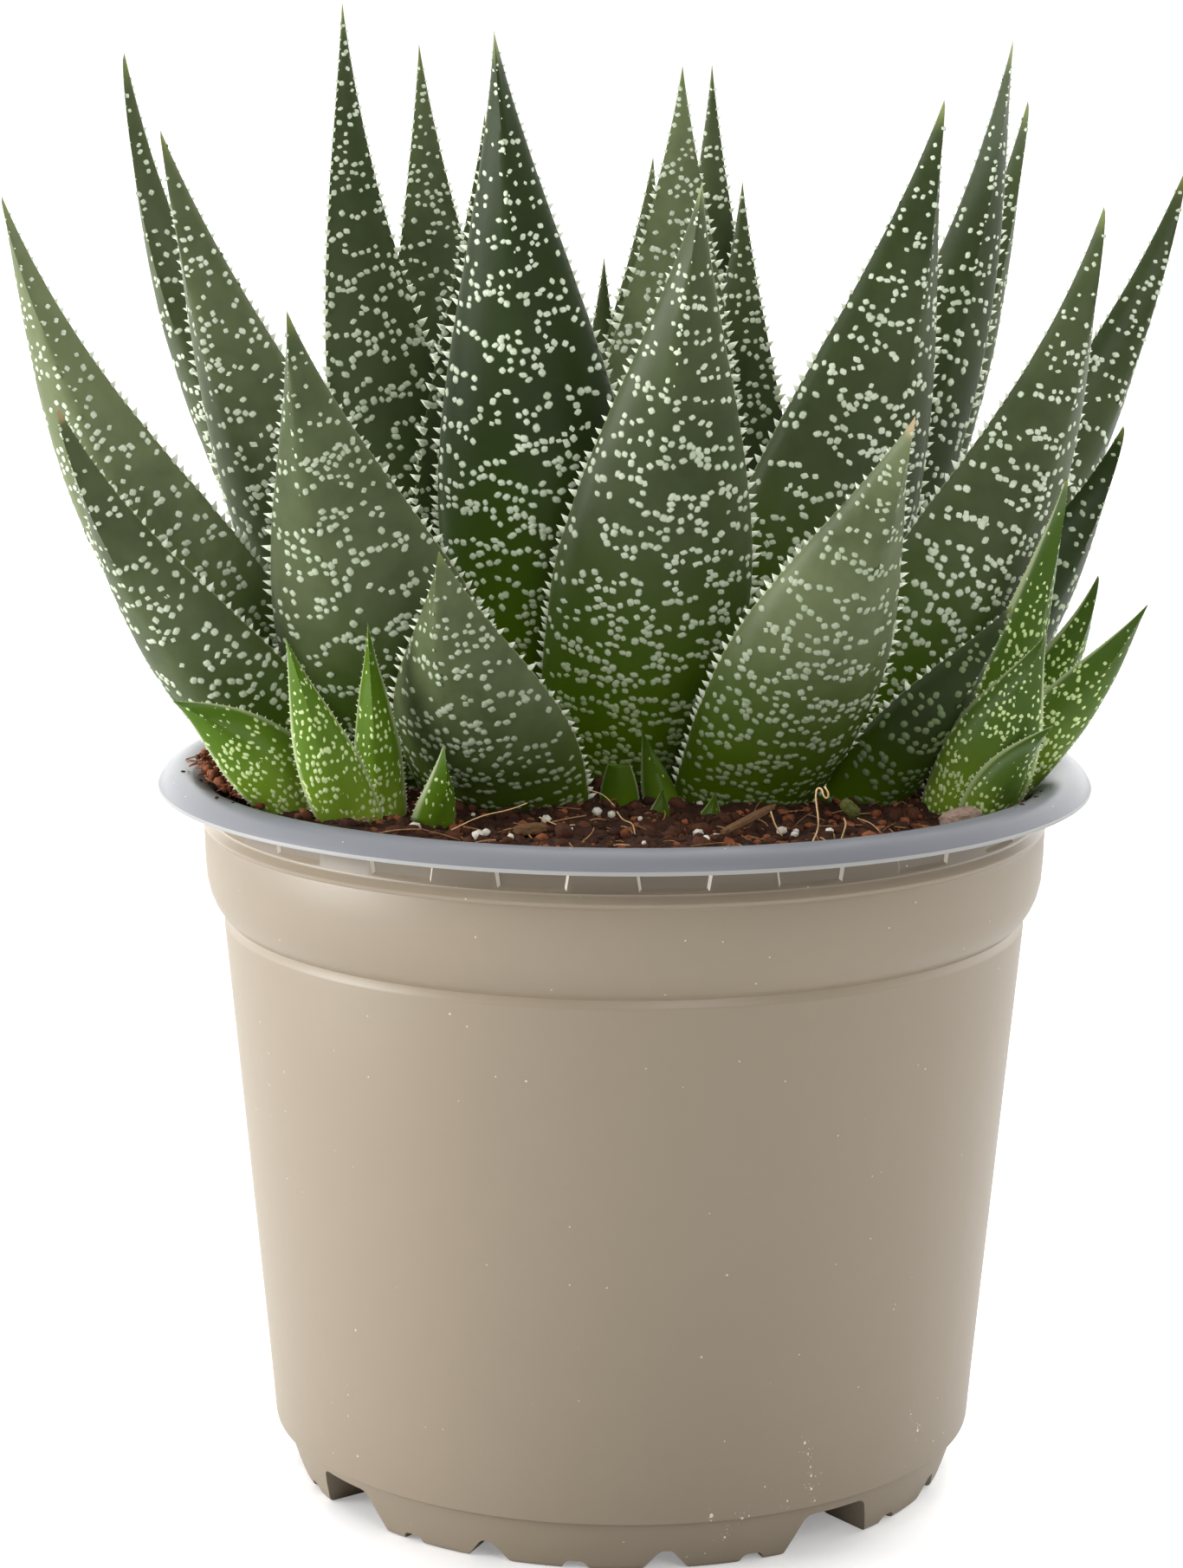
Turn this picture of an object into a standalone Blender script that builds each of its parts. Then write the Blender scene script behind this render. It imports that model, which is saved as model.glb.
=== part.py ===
"""Potted gasteria: two crowded crowns of toothed leaves and three offsets, in a nursery pot.

Metres, +Z up. The origin is where the pot's axis meets the surface that its feet stand on.
The front is towards -Y. Every dimension below is in millimetres or degrees, and MM turns it into metres.
"""

import math
from typing import NamedTuple

import bmesh
import bpy
from mathutils import Matrix, Vector, noise

MM = 0.001
TOUCHING_GAP = 0.3
HOLE_GAP = 0.9
MERGE_DISTANCE = 0.00001
UP = Vector((0.0, 0.0, 1.0))

# Pot: the outlines run as (radius, height)
POT_SIDES = 48
FLOOR_UNDERSIDE = 5.4
FLOOR_TOP = 6.4
FOOT_INNER_RADIUS = 34.0
POT_OUTSIDE = [
    (55.2, 93.9), (57.6, 93.6), (59.4, 92.6), (60.0, 91.3),
    (53.4, 91.0), (53.2, 88.0), (54.3, 87.4), (52.7, 74.5), (51.7, 73.4),
    (45.9, 7.4), (44.9, 6.5), (42.3, 0.0),
]
POT_INSIDE = [(44.4, FLOOR_TOP), (50.4, 73.0), (51.9, 88.0), (52.4, 90.6), (53.8, 92.0), (54.3, 93.4)]

DRAIN_COUNT = 4
DRAIN_BEARING = 37.0
DRAIN_WIDTH = 11.6
DRAIN_HOLE_RADIUS = 3.0
DRAIN_HOLE_AT = 38.0
NOTCH_PITCH = 15.0
NOTCH_HALF_WIDTH = 1.8
NOTCH_DEPTH = 3.0
FOOT_RADIUS = 42.3

PANEL_COUNT = 22
PANEL_WIDTH = 8.2
PANEL_DEPTH = 0.5
PANEL_FOOT = 88.5
PANEL_HEAD = 90.6
COLLAR_RADIUS = 53.3

# Soil: its top is a little raised round the stems, heaped at the left wall and sunk at the right one
SOIL_SIDES = 24
SOIL_RINGS = [16.0, 32.0, 46.0]
SOIL_HEIGHT = 91.0
SOIL_WALL = POT_INSIDE[:3]
SOIL_HEAP = 2.6
SOIL_MOUND = 1.3
SOIL_MOUND_REACH = 34.0
SOIL_ROUGHNESS = 0.8
SOIL_GRAIN = 14.0

# Stems, buried in the soil: the feet of a crown's inner leaves stand on its flat top
STEM_SIDES = 16
STEM_TOP = 85.7
STEM_DEPTH = 12.0
STEM_TAPER = 0.55
LEAF_FOOT = STEM_TOP + TOUCHING_GAP


class Stem(NamedTuple):
    place: tuple
    radius: float


STEMS = {
    "left_crown_stem": Stem((-19, 9), 14.0),
    "right_crown_stem": Stem((14, 9), 14.0),
    "left_offset_stem": Stem((-31, -24), 4.5),
    "right_offset_stem": Stem((44, -7), 5.0),
    "front_offset_stem": Stem((4.5, -19), 3.0),
}

# Leaves
SECTION_ANGLES = [0, 50, 90, 130, 180, 270]
LEAF_RINGS = 10
LEVEL_UNTIL = 0.28
OFFSET_LEAF_RINGS = 7
WIDEST_AT = 0.38
FOOT_NARROWING = 0.25
KEEL_SHARE = 0.3
INNER_BULGE = 0.18

# Teeth: flat three-sided blades whose roots are sunk in a leaf's margins
TEETH_A_SIDE = 8
OFFSET_TEETH_A_SIDE = 3
TOOTH_HEIGHT = 1.1
TOOTH_ROOT = 1.4
TOOTH_RADIUS = 1.0
TOOTH_FLATNESS = 0.5
TOOTH_RISE = 0.7
TOOTH_LEAN = 25.0
TEETH_FROM = 0.25
TEETH_TO = 0.97
TEETH_ABOVE = 94.0


class Leaf(NamedTuple):
    """A leaf by its foot on the stem, its tip, and how its back is bent between them.

    The spine leaves the foot towards an elbow that lies the share `out` of the way to the tip on plan
    and the share `up` of the way in height. `faces` is the bearing that the keeled outer side looks to,
    in degrees from +X towards +Y. `sway` bends the spine like an S on top of that: so many millimetres
    inwards a quarter of the way up and outwards at three quarters.
    """

    foot: tuple
    tip: tuple
    out: float
    up: float
    width: float
    thickness: float
    faces: float
    sway: float = 0.0


LEFT_CROWN = [
    Leaf((-13, -11), (-22.4, -37, 125.5), 0.60, 0.45, 24, 6.5, -110),
    Leaf((-19.5, -1.5), (-40.4, -33, 153.5), 0.65, 0.40, 27, 6.5, -100),
    Leaf((-31.5, -6), (-68.7, -26, 141.5), 0.63, 0.39, 17, 6.0, -120, 0.5),
    Leaf((-42.5, -0.5), (-61.5, -11, 111.0), 0.45, 0.62, 9, 3.5, -120),
    Leaf((-34.5, 4), (-76.6, -14, 166.0), 0.62, 0.39, 20, 6.5, -112, 1.0),
    Leaf((-24, 6), (-57.7, -8, 173.8), 0.54, 0.42, 20, 6.5, -105, 0.5),
    Leaf((-29.8, 20.3), (-65.3, 20, 183.0), 0.56, 0.40, 14, 6.0, -120, 2.1),
    Leaf((-19, 15), (-36.9, 20, 189.5), 0.72, 0.38, 19, 6.5, 110, 1.0),
    Leaf((-17, 22), (-27.7, 36, 184.3), 0.70, 0.40, 20, 6.0, 100),
    Leaf((-8, 6), (-16.4, -14, 186.0), 0.40, 0.45, 26, 6.5, -95),
    Leaf((-20, 8.7), (-18.2, 10.5, 175.5), 0.50, 0.50, 17, 5.0, 105),
    Leaf((-4, 27.5), (-2.8, 29, 156.5), 0.60, 0.45, 14, 5.0, 90),
    Leaf((-26, 28), (-44, 46, 140), 0.60, 0.42, 16, 6.0, 125),
    Leaf((-14, 30), (-20, 53, 146), 0.60, 0.42, 18, 6.5, 105),
    Leaf((-39, 20), (-62, 32, 124), 0.50, 0.60, 14, 6.0, 155),
    Leaf((-4, 36), (-6, 56, 122), 0.60, 0.50, 15, 6.0, 95),
]

RIGHT_CROWN = [
    Leaf((-1.5, -2), (8.7, -26, 168.5), 0.60, 0.45, 25, 6.5, -90),
    Leaf((12.5, -11), (33.5, -40, 142.0), 0.50, 0.48, 21, 6.5, -75),
    Leaf((26, -8), (47.2, -22, 117.0), 0.50, 0.50, 12, 5.5, -60),
    Leaf((24, 0), (58.7, -10, 165.0), 0.64, 0.39, 21, 6.5, -65, 0.9),
    Leaf((14, 3), (39.1, -6, 177.8), 0.52, 0.44, 25, 6.5, -70, 0.5),
    Leaf((3.5, 10), (7.1, 12, 181.7), 0.40, 0.50, 21.5, 6.0, 100, 0.6),
    Leaf((12, 21), (11.4, 30, 181.8), 0.60, 0.45, 16, 5.5, 80),
    Leaf((-1.8, 19), (3.6, 24, 170.0), 0.50, 0.45, 18.5, 5.0, 100),
    Leaf((14.5, 15), (15.3, 22, 166.8), 0.60, 0.45, 17, 5.5, 75),
    Leaf((22, 12), (49.1, 10, 185.0), 0.49, 0.42, 17, 6.0, -80, 1.8),
    Leaf((25.5, 19), (52.5, 22, 177.2), 0.44, 0.44, 15, 5.5, -60, 1.65),
    Leaf((33.5, 20), (76.6, 44, 167.5), 0.52, 0.41, 17, 6.0, -50, 1.2),
    Leaf((32, 8), (64.6, 10, 136.0), 0.58, 0.42, 16, 5.5, -50, 0.5),
    Leaf((5, 31.5), (6, 54, 146), 0.60, 0.42, 18, 6.5, 92),
    Leaf((20, 29), (32, 52, 150), 0.60, 0.42, 20, 6.5, 65),
    Leaf((30, 31), (50, 44, 130), 0.55, 0.55, 18, 6.5, 40),
]

LEFT_OFFSET = [
    Leaf((-33.5, -24.5), (-55.3, -28, 105.8), 0.60, 0.82, 10, 3.0, -80),
    Leaf((-31, -28.5), (-40.8, -36, 115.0), 0.60, 0.45, 8, 3.0, -80),
    Leaf((-29.5, -21.5), (-31.3, -30, 116.0), 0.60, 0.45, 6, 4.0, -90),
    Leaf((-25, -27), (-22.0, -36, 102.0), 0.60, 0.45, 6, 3.0, -60),
    Leaf((-34, -17.5), (-36.5, -22, 100.0), 0.60, 0.45, 6, 3.0, 90),
]

RIGHT_OFFSET = [
    Leaf((41, -2), (54.5, -14, 132.0), 0.60, 0.45, 9, 4.5, -60),
    Leaf((41, -14), (51.2, -26, 114.3), 0.50, 0.50, 12, 3.5, -100),
    Leaf((46, 3), (59.8, -6, 118.7), 0.52, 0.54, 9, 3.5, -60, 0.8),
    Leaf((44.2, -7.5), (65.0, -15, 116.4), 0.56, 0.57, 8, 3.0, -80, 0.4),
    Leaf((42.5, -18), (52.1, -27, 103.0), 0.35, 0.65, 6, 3.0, -80),
]

FRONT_OFFSET = [
    Leaf((6.2, -18.4), (2.0, -18.0, 100.8), 0.60, 0.50, 4.5, 2.3, -70),
    Leaf((-0.6, -17.2), (-0.9, -19.5, 101.5), 0.60, 0.45, 5, 2.0, -90),
    Leaf((3.5, -21.5), (4.5, -24, 94.6), 0.60, 0.45, 4, 2.0, -80),
    Leaf((9.5, -22), (11.0, -24, 94.0), 0.60, 0.45, 4, 2.0, -90),
]
BLUNT_LEAF = "front_offset_leaf_2"
BLUNT_HEIGHT = 96.5

LEAF_GROUPS = [
    (LEFT_CROWN, LEAF_RINGS), (RIGHT_CROWN, LEAF_RINGS), (LEFT_OFFSET, OFFSET_LEAF_RINGS),
    (RIGHT_OFFSET, OFFSET_LEAF_RINGS), (FRONT_OFFSET, OFFSET_LEAF_RINGS),
]


def clear_scene():
    for old in list(bpy.data.objects):
        bpy.data.objects.remove(old, do_unlink=True)


def collection(name):
    """A collection of this name, linked to the scene."""
    made = bpy.data.collections.new(name)
    bpy.context.scene.collection.children.link(made)
    return made


def material(name, colour, roughness):
    """A plain Principled material."""
    made = bpy.data.materials.new(name)
    made.use_nodes = True
    shader = made.node_tree.nodes["Principled BSDF"]
    shader.inputs["Base Color"].default_value = (*colour, 1.0)
    shader.inputs["Roughness"].default_value = roughness
    shader.inputs["Metallic"].default_value = 0.0
    made.diffuse_color = (*colour, 1.0)
    return made


def finish_object(name, mesh, group, look=None):
    """An object of this mesh in this collection, with its material."""
    made = bpy.data.objects.new(name, mesh)
    group.objects.link(made)
    if look is not None:
        mesh.materials.append(look)
    return made


def from_builder(name, builder, group, look=None):
    """An object from a bmesh, which is freed here."""
    mesh = bpy.data.meshes.new(name)
    builder.to_mesh(mesh)
    builder.free()
    return finish_object(name, mesh, group, look)


def tool_object(builder):
    """A cutter or a piece to be joined."""
    made = from_builder("tool", builder, CUTTERS)
    made.hide_render = True
    made.display_type = "WIRE"
    return made


def evaluated_mesh(target):
    bpy.context.view_layer.update()
    seen = target.evaluated_get(bpy.context.evaluated_depsgraph_get())
    return bpy.data.meshes.new_from_object(seen)


def apply_boolean(target, operation, tools, solver="EXACT"):
    """Joins the tools to the target, or cuts them from it, in one Boolean on a collection, then removes them."""
    if not tools:
        return
    operands = collection("operands")
    for tool in tools:
        operands.objects.link(tool)
    step = target.modifiers.new(operation.title(), "BOOLEAN")
    step.operation = operation
    step.operand_type = "COLLECTION"
    step.collection = operands
    step.solver = solver
    result = evaluated_mesh(target)
    target.modifiers.clear()
    target.data = result
    for tool in tools:
        bpy.data.objects.remove(tool, do_unlink=True)
    bpy.data.collections.remove(operands)


def turned(name, outline, sides, group, look=None):
    """A solid turned about the vertical axis from an outline that starts and ends on the axis."""
    mesh = bpy.data.meshes.new(name)
    points = [(radius * MM, 0.0, height * MM) for radius, height in outline]
    mesh.from_pydata(points, [(i, i + 1) for i in range(len(points) - 1)], [])
    made = finish_object(name, mesh, group, look)
    screw = made.modifiers.new("Turn", "SCREW")
    screw.steps = sides
    screw.render_steps = sides
    screw.use_merge_vertices = True
    screw.merge_threshold = MERGE_DISTANCE
    made.data = evaluated_mesh(made)
    made.modifiers.clear()
    return made


def box_tool(size, centre, bearing=0.0, roll=0.0):
    """A box, size and centre in millimetres, rolled about its radial axis and then turned to a bearing."""
    builder = bmesh.new()
    bmesh.ops.create_cube(builder, size=1.0)
    place = (
        Matrix.Rotation(math.radians(bearing), 4, "Z")
        @ Matrix.Translation(Vector(centre) * MM)
        @ Matrix.Rotation(math.radians(roll), 4, "X")
        @ Matrix.Diagonal((*(Vector(size) * MM), 1.0))
    )
    bmesh.ops.transform(builder, matrix=place, verts=builder.verts)
    return tool_object(builder)


def compass(bearing):
    """A bearing from the front, positive to the right, as degrees from +X towards +Y."""
    return bearing - 90.0


def drain_tools():
    """Four radial channels across the foot ring, each with a hole up through the floor."""
    tools = []
    for number in range(DRAIN_COUNT):
        bearing = compass(DRAIN_BEARING + number * 360.0 / DRAIN_COUNT)
        start = FOOT_INNER_RADIUS - 2.0
        end = FOOT_RADIUS + 8.0
        centre = ((start + end) / 2, 0.0, FLOOR_UNDERSIDE / 2 - 1.0)
        tools.append(box_tool((end - start, DRAIN_WIDTH, FLOOR_UNDERSIDE + 2.0), centre, bearing))
        builder = bmesh.new()
        bmesh.ops.create_cone(
            builder, cap_ends=True, segments=12, depth=8.0 * MM,
            radius1=DRAIN_HOLE_RADIUS * MM, radius2=DRAIN_HOLE_RADIUS * MM,
        )
        turn = math.radians(bearing)
        place = Vector((math.cos(turn) * DRAIN_HOLE_AT, math.sin(turn) * DRAIN_HOLE_AT, FLOOR_TOP)) * MM
        bmesh.ops.translate(builder, vec=place, verts=builder.verts)
        tools.append(tool_object(builder))
    return tools


def notch_tools():
    """Small three-cornered notches in the bottom edge of the feet, none where a drain channel is."""
    tools = []
    side = NOTCH_HALF_WIDTH * math.sqrt(2.0)
    between_drains = round(360.0 / DRAIN_COUNT / NOTCH_PITCH)
    for number in range(DRAIN_COUNT * between_drains):
        if number % between_drains == 0:
            continue
        bearing = compass(DRAIN_BEARING + number * NOTCH_PITCH)
        centre = (FOOT_RADIUS, 0.0, 0.0)
        tools.append(box_tool((2 * NOTCH_DEPTH, side, side), centre, bearing, roll=45.0))
    return tools


def panel_tools():
    """The shallow stacking panels around the collar, under the rim."""
    tools = []
    height = PANEL_HEAD - PANEL_FOOT
    for number in range(PANEL_COUNT):
        bearing = compass(number * 360.0 / PANEL_COUNT)
        centre = (COLLAR_RADIUS, 0.0, (PANEL_FOOT + PANEL_HEAD) / 2)
        tools.append(box_tool((2 * PANEL_DEPTH, PANEL_WIDTH, height), centre, bearing))
    return tools


def make_pot(look):
    outline = [(0.0, FLOOR_TOP)] + POT_INSIDE + POT_OUTSIDE
    outline += [(FOOT_INNER_RADIUS + 1.0, 0.0), (FOOT_INNER_RADIUS, FLOOR_UNDERSIDE), (0.0, FLOOR_UNDERSIDE)]
    pot = turned("pot", outline, POT_SIDES, PARTS, look)
    apply_boolean(pot, "DIFFERENCE", drain_tools() + notch_tools() + panel_tools())
    return pot


def soil_height(x, y):
    """The soil's top at a place on plan: raised in the middle, heaped to the left wall, and uneven."""
    slope = -x / SOIL_WALL[-1][0]
    heap = SOIL_HEAP * max(slope, 0.0) ** 3 + min(slope, 0.0)
    grain = noise.noise(Vector((x, y, 0.0)) / SOIL_GRAIN)
    mound = SOIL_MOUND * max(1.0 - (x * x + y * y) / SOIL_MOUND_REACH ** 2, 0.0)
    return SOIL_HEIGHT + heap + mound + SOIL_ROUGHNESS * grain


def stem_body(stem, swell=0.0):
    """A short cone on its point, cut off flat where the leaves stand."""
    builder = bmesh.new()
    top = stem.radius + swell
    depth = STEM_DEPTH + 2.0 * swell
    bmesh.ops.create_cone(
        builder, cap_ends=True, segments=STEM_SIDES, depth=depth * MM,
        radius1=top * STEM_TAPER * MM, radius2=top * MM,
    )
    centre = Vector((*stem.place, STEM_TOP - STEM_DEPTH / 2)) * MM
    bmesh.ops.translate(builder, vec=centre, verts=builder.verts)
    return builder


def make_stem(name, stem, look):
    return from_builder(name, stem_body(stem), PARTS, look)


def hole_tools():
    """The plain holes in the soil that the leaves and stems stand in, with a gap all round."""
    tools = [tool_object(stem_body(stem, TOUCHING_GAP)) for stem in STEMS.values()]
    for leaves, rings in LEAF_GROUPS:
        tools += [tool_object(leaf_body(leaf, rings, HOLE_GAP)) for leaf in leaves]
    return tools


def make_soil(look):
    """Fills the pot to just under its rim, with the top's rings raised by the rule of soil_height."""
    wall = [(radius - TOUCHING_GAP, height) for radius, height in SOIL_WALL]
    wall[0] = (wall[0][0], FLOOR_TOP + TOUCHING_GAP)
    top = [(radius, SOIL_HEIGHT) for radius in SOIL_RINGS]
    outline = [(0.0, SOIL_HEIGHT)] + top + [(wall[-1][0], SOIL_HEIGHT - 1.0)]
    outline += list(reversed(wall[:-1])) + [(0.0, FLOOR_TOP + TOUCHING_GAP)]
    soil = turned("soil", outline, SOIL_SIDES, PARTS, look)
    for vertex in soil.data.vertices:
        if vertex.co.z > (SOIL_HEIGHT - 2.0) * MM:
            rise = soil_height(vertex.co.x / MM, vertex.co.y / MM) - SOIL_HEIGHT
            vertex.co.z += rise * MM
    apply_boolean(soil, "DIFFERENCE", hole_tools(), solver="MANIFOLD")
    return soil


def taper(along):
    """A leaf's share of its full width, from 0 at the foot end to 1 at the tip."""
    towards_tip = min((1.0 - along) / (1.0 - WIDEST_AT), 1.0)
    smooth = towards_tip * towards_tip * (3.0 - 2.0 * towards_tip)
    swelling = (math.sin(towards_tip * math.pi / 2) + smooth) / 2
    below = max(1.0 - along / WIDEST_AT, 0.0)
    return swelling * (1.0 - FOOT_NARROWING * below * below)


def section(angle):
    """A leaf's cross-section of unit half width: keeled outside, nearly flat inside."""
    side = math.cos(angle)
    if math.sin(angle) >= 0.0:
        return side, (1.0 - KEEL_SHARE) * (1.0 - side * side) + KEEL_SHARE * (1.0 - abs(side))
    return side, -INNER_BULGE * (1.0 - side * side)


def leaf_frame(leaf, along):
    """The spine's point and its directions across the leaf, out through the keel and on to the tip."""
    foot = Vector((*leaf.foot, LEAF_FOOT))
    tip = Vector(leaf.tip)
    reach = tip - foot
    elbow = foot + Vector((reach.x * leaf.out, reach.y * leaf.out, reach.z * leaf.up))
    rest = 1.0 - along
    point = foot * rest * rest + elbow * 2.0 * along * rest + tip * along * along
    onward = (elbow - foot) * rest + (tip - elbow) * along
    away = Vector((reach.x, reach.y, 0.0)).normalized() * leaf.sway
    point -= away * math.sin(math.tau * along)
    onward = (onward - away * math.pi * math.cos(math.tau * along)).normalized()
    onward = UP.lerp(onward, min(along / LEVEL_UNTIL, 1.0)).normalized()
    facing = Vector((math.cos(math.radians(leaf.faces)), math.sin(math.radians(leaf.faces)), 0.0))
    outward = (facing - onward * facing.dot(onward)).normalized()
    return point, outward.cross(onward), outward, onward


def leaf_body(leaf, rings, swell=0.0):
    """A sphere's rings laid along the spine, the lowest ring level. Swell fattens it, to cut a hole for it."""
    builder = bmesh.new()
    sides = len(SECTION_ANGLES)
    lean = leaf_frame(leaf, 1.0 / (rings - 1))[0] - leaf_frame(leaf, 0.0)[0]
    bmesh.ops.create_uvsphere(builder, u_segments=sides, v_segments=rings, radius=1.0)
    for vertex in builder.verts:
        ring = round(rings * math.acos(max(-1.0, min(1.0, -vertex.co.z))) / math.pi)
        along = max(ring - 1, 0) / (rings - 1)
        turn = round(math.atan2(vertex.co.y, vertex.co.x) / math.tau * sides) % sides
        side, keel = (0.0, 0.0) if ring in (0, rings) else section(math.radians(SECTION_ANGLES[turn]))
        point, across, outward, onward = leaf_frame(leaf, along)
        share = taper(along)
        place = point + across * side * (leaf.width / 2 * share + swell)
        place += outward * keel * leaf.thickness / (1.0 + INNER_BULGE) * math.sqrt(share)
        place += outward * swell * (keel > 0.01) - outward * swell * (keel < -0.01)
        if along == 0.0:
            place -= lean * swell / lean.z
        vertex.co = place * MM
    return builder


def tooth_tools(leaf, per_side):
    """Teeth along both margins, leaning to the leaf's tip and smaller towards it."""
    tools = []
    lean = math.radians(TOOTH_LEAN)
    for side in (-1.0, 1.0):
        for number in range(per_side):
            along = TEETH_FROM + (TEETH_TO - TEETH_FROM) * (number + 0.5) / per_side
            point, across, outward, onward = leaf_frame(leaf, along)
            margin = point + across * side * leaf.width / 2 * taper(along)
            if margin.z < TEETH_ABOVE:
                continue
            pointing = across * side * math.cos(lean) + onward * math.sin(lean)
            size = (0.5 + 0.5 * taper(along)) * MM
            builder = bmesh.new()
            bmesh.ops.create_cone(
                builder, cap_ends=True, segments=3, depth=TOOTH_HEIGHT + TOOTH_ROOT,
                radius1=TOOTH_RADIUS, radius2=0.0,
            )
            sunk = Vector((TOOTH_RISE * TOOTH_RADIUS, 0.0, (TOOTH_HEIGHT - TOOTH_ROOT) / 2))
            turned_to = Matrix((outward * TOOTH_FLATNESS, pointing.cross(outward), pointing)).transposed()
            place = Matrix.Translation(margin * MM) @ turned_to.to_4x4() @ Matrix.Scale(size, 4)
            bmesh.ops.transform(builder, matrix=place @ Matrix.Translation(sunk), verts=builder.verts)
            tools.append(tool_object(builder))
    return tools


def make_leaf(name, leaf, rings, teeth, look):
    made = from_builder(name, leaf_body(leaf, rings), PARTS, look)
    apply_boolean(made, "UNION", tooth_tools(leaf, teeth))
    if name == BLUNT_LEAF:
        over_the_cut = box_tool((20.0, 20.0, 20.0), (*leaf.foot, BLUNT_HEIGHT + 10.0))
        apply_boolean(made, "DIFFERENCE", [over_the_cut])
    return made


def main():
    pot_look = material("pot", (0.34, 0.29, 0.22), 0.45)
    soil_look = material("soil", (0.10, 0.045, 0.025), 0.95)
    stem_look = material("stem", (0.22, 0.17, 0.09), 0.7)
    leaf_look = material("leaf", (0.05, 0.12, 0.045), 0.5)
    young_look = material("offset_leaf", (0.12, 0.25, 0.05), 0.5)
    make_pot(pot_look)
    make_soil(soil_look)
    for name, stem in STEMS.items():
        make_stem(name, stem, stem_look)
    for crown, leaves in (("left", LEFT_CROWN), ("right", RIGHT_CROWN)):
        for number, leaf in enumerate(leaves, 1):
            make_leaf(f"{crown}_leaf_{number:02d}", leaf, LEAF_RINGS, TEETH_A_SIDE, leaf_look)
    for offset, leaves in (("left", LEFT_OFFSET), ("right", RIGHT_OFFSET), ("front", FRONT_OFFSET)):
        for number, leaf in enumerate(leaves, 1):
            name = f"{offset}_offset_leaf_{number}"
            make_leaf(name, leaf, OFFSET_LEAF_RINGS, OFFSET_TEETH_A_SIDE, young_look)


clear_scene()
PARTS = collection("potted_gasteria")
CUTTERS = collection("cutters")
main()
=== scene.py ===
# %% [markdown]
# # A potted gasteria
#
# A gasteria is a small succulent whose thick leaves are tongues with a keel on their outer side, white teeth
# along their margins and rows of pale warts, called tubercles, across both faces. This one is a young clump of
# two rosettes and three offsets in a nursery pot. The lesson starts from a frame of plain solids at their real
# size and dresses each of them: leaves first, then the pot, then the soil.

# %% The frame
import math
import random
from contextlib import contextmanager
from typing import NamedTuple

import bpy
import numpy as np
from mathutils import Matrix, Vector, noise


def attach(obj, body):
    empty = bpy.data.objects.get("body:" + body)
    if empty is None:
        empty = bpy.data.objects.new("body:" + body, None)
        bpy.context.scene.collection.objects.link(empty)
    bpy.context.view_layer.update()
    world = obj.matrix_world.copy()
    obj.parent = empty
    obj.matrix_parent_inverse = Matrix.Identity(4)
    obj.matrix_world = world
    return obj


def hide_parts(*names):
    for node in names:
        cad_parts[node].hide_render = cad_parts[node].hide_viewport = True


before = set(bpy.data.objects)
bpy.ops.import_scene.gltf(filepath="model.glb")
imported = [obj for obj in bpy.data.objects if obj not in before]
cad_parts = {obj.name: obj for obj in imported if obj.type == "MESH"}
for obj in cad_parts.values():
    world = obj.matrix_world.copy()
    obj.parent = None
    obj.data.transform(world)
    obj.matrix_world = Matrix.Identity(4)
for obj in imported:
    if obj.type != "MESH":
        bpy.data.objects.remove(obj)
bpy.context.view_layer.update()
MM = 0.001
UP = np.array((0.0, 0.0, 1.0))

# %% [markdown]
# ## Working by hand, in code
#
# An operator acts on what is selected and on the active piece, in object mode or in edit mode. Three helpers keep
# that straight: one leaves nothing selected, one takes up a single piece, and one opens edit mode for a few lines
# and closes it again.

# %% Helpers for operators


def start_clean():
    """Nothing selected and no edit mode, so that an operator acts only on what is added next."""
    if bpy.context.object and bpy.context.object.mode != "OBJECT":
        bpy.ops.object.mode_set(mode="OBJECT")
    bpy.ops.object.select_all(action="DESELECT")


def take_up(piece):
    """Makes a piece the active one and the only one selected."""
    start_clean()
    bpy.context.view_layer.objects.active = piece
    piece.select_set(True)


@contextmanager
def edit_mode(select_all=False):
    """Edit mode on the active piece for a few lines, with all of it selected first if that is wanted."""
    bpy.ops.object.mode_set(mode="EDIT")
    if select_all:
        bpy.ops.mesh.select_all(action="SELECT")
    yield
    bpy.ops.object.mode_set(mode="OBJECT")


start_clean()
print("selected:", len(bpy.context.selected_objects))

# %% [markdown]
# ## The camera
#
# The camera was fitted to the circles that the pot shows: its rim, its step and its foot. Their flattening gives
# the height that the lens looks from, and how fast they shrink downwards gives the distance. It is almost level,
# half a metre away, and a short telephoto lens.

# %% Camera
CAMERA_PLACE = Vector((-4.24, -495.3, 185.84)) * MM
CAMERA_PITCH = math.radians(10.915)
CAMERA_ROLL = math.radians(0.2)
CAMERA_LENS = 89.5

camera = bpy.data.objects.new("camera", bpy.data.cameras.new("camera"))
bpy.context.scene.collection.objects.link(camera)
camera.data.lens = CAMERA_LENS
camera.matrix_world = (
    Matrix.Translation(CAMERA_PLACE)
    @ Matrix.Rotation(math.pi / 2 - CAMERA_PITCH, 4, "X")
    @ Matrix.Rotation(CAMERA_ROLL, 4, "Z")
)
bpy.context.scene.camera = camera
print("camera distance in mm:", round(-CAMERA_PLACE.y / MM))

# %% [markdown]
# ## Light and floor
#
# The plant stands in a white room, lit softly from the sides, from above and from behind, and the side towards
# the lens is the dimmest. That makes the edges of the pot and of every leaf glow and keeps their middles deep in
# colour. So the room's strength grows from front to back and from top to bottom, three large area lights do the
# modelling, and a pale floor catches the shadow under the feet and lights the undersides. What the lens sees of
# the room itself is plain white from any side.

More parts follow.
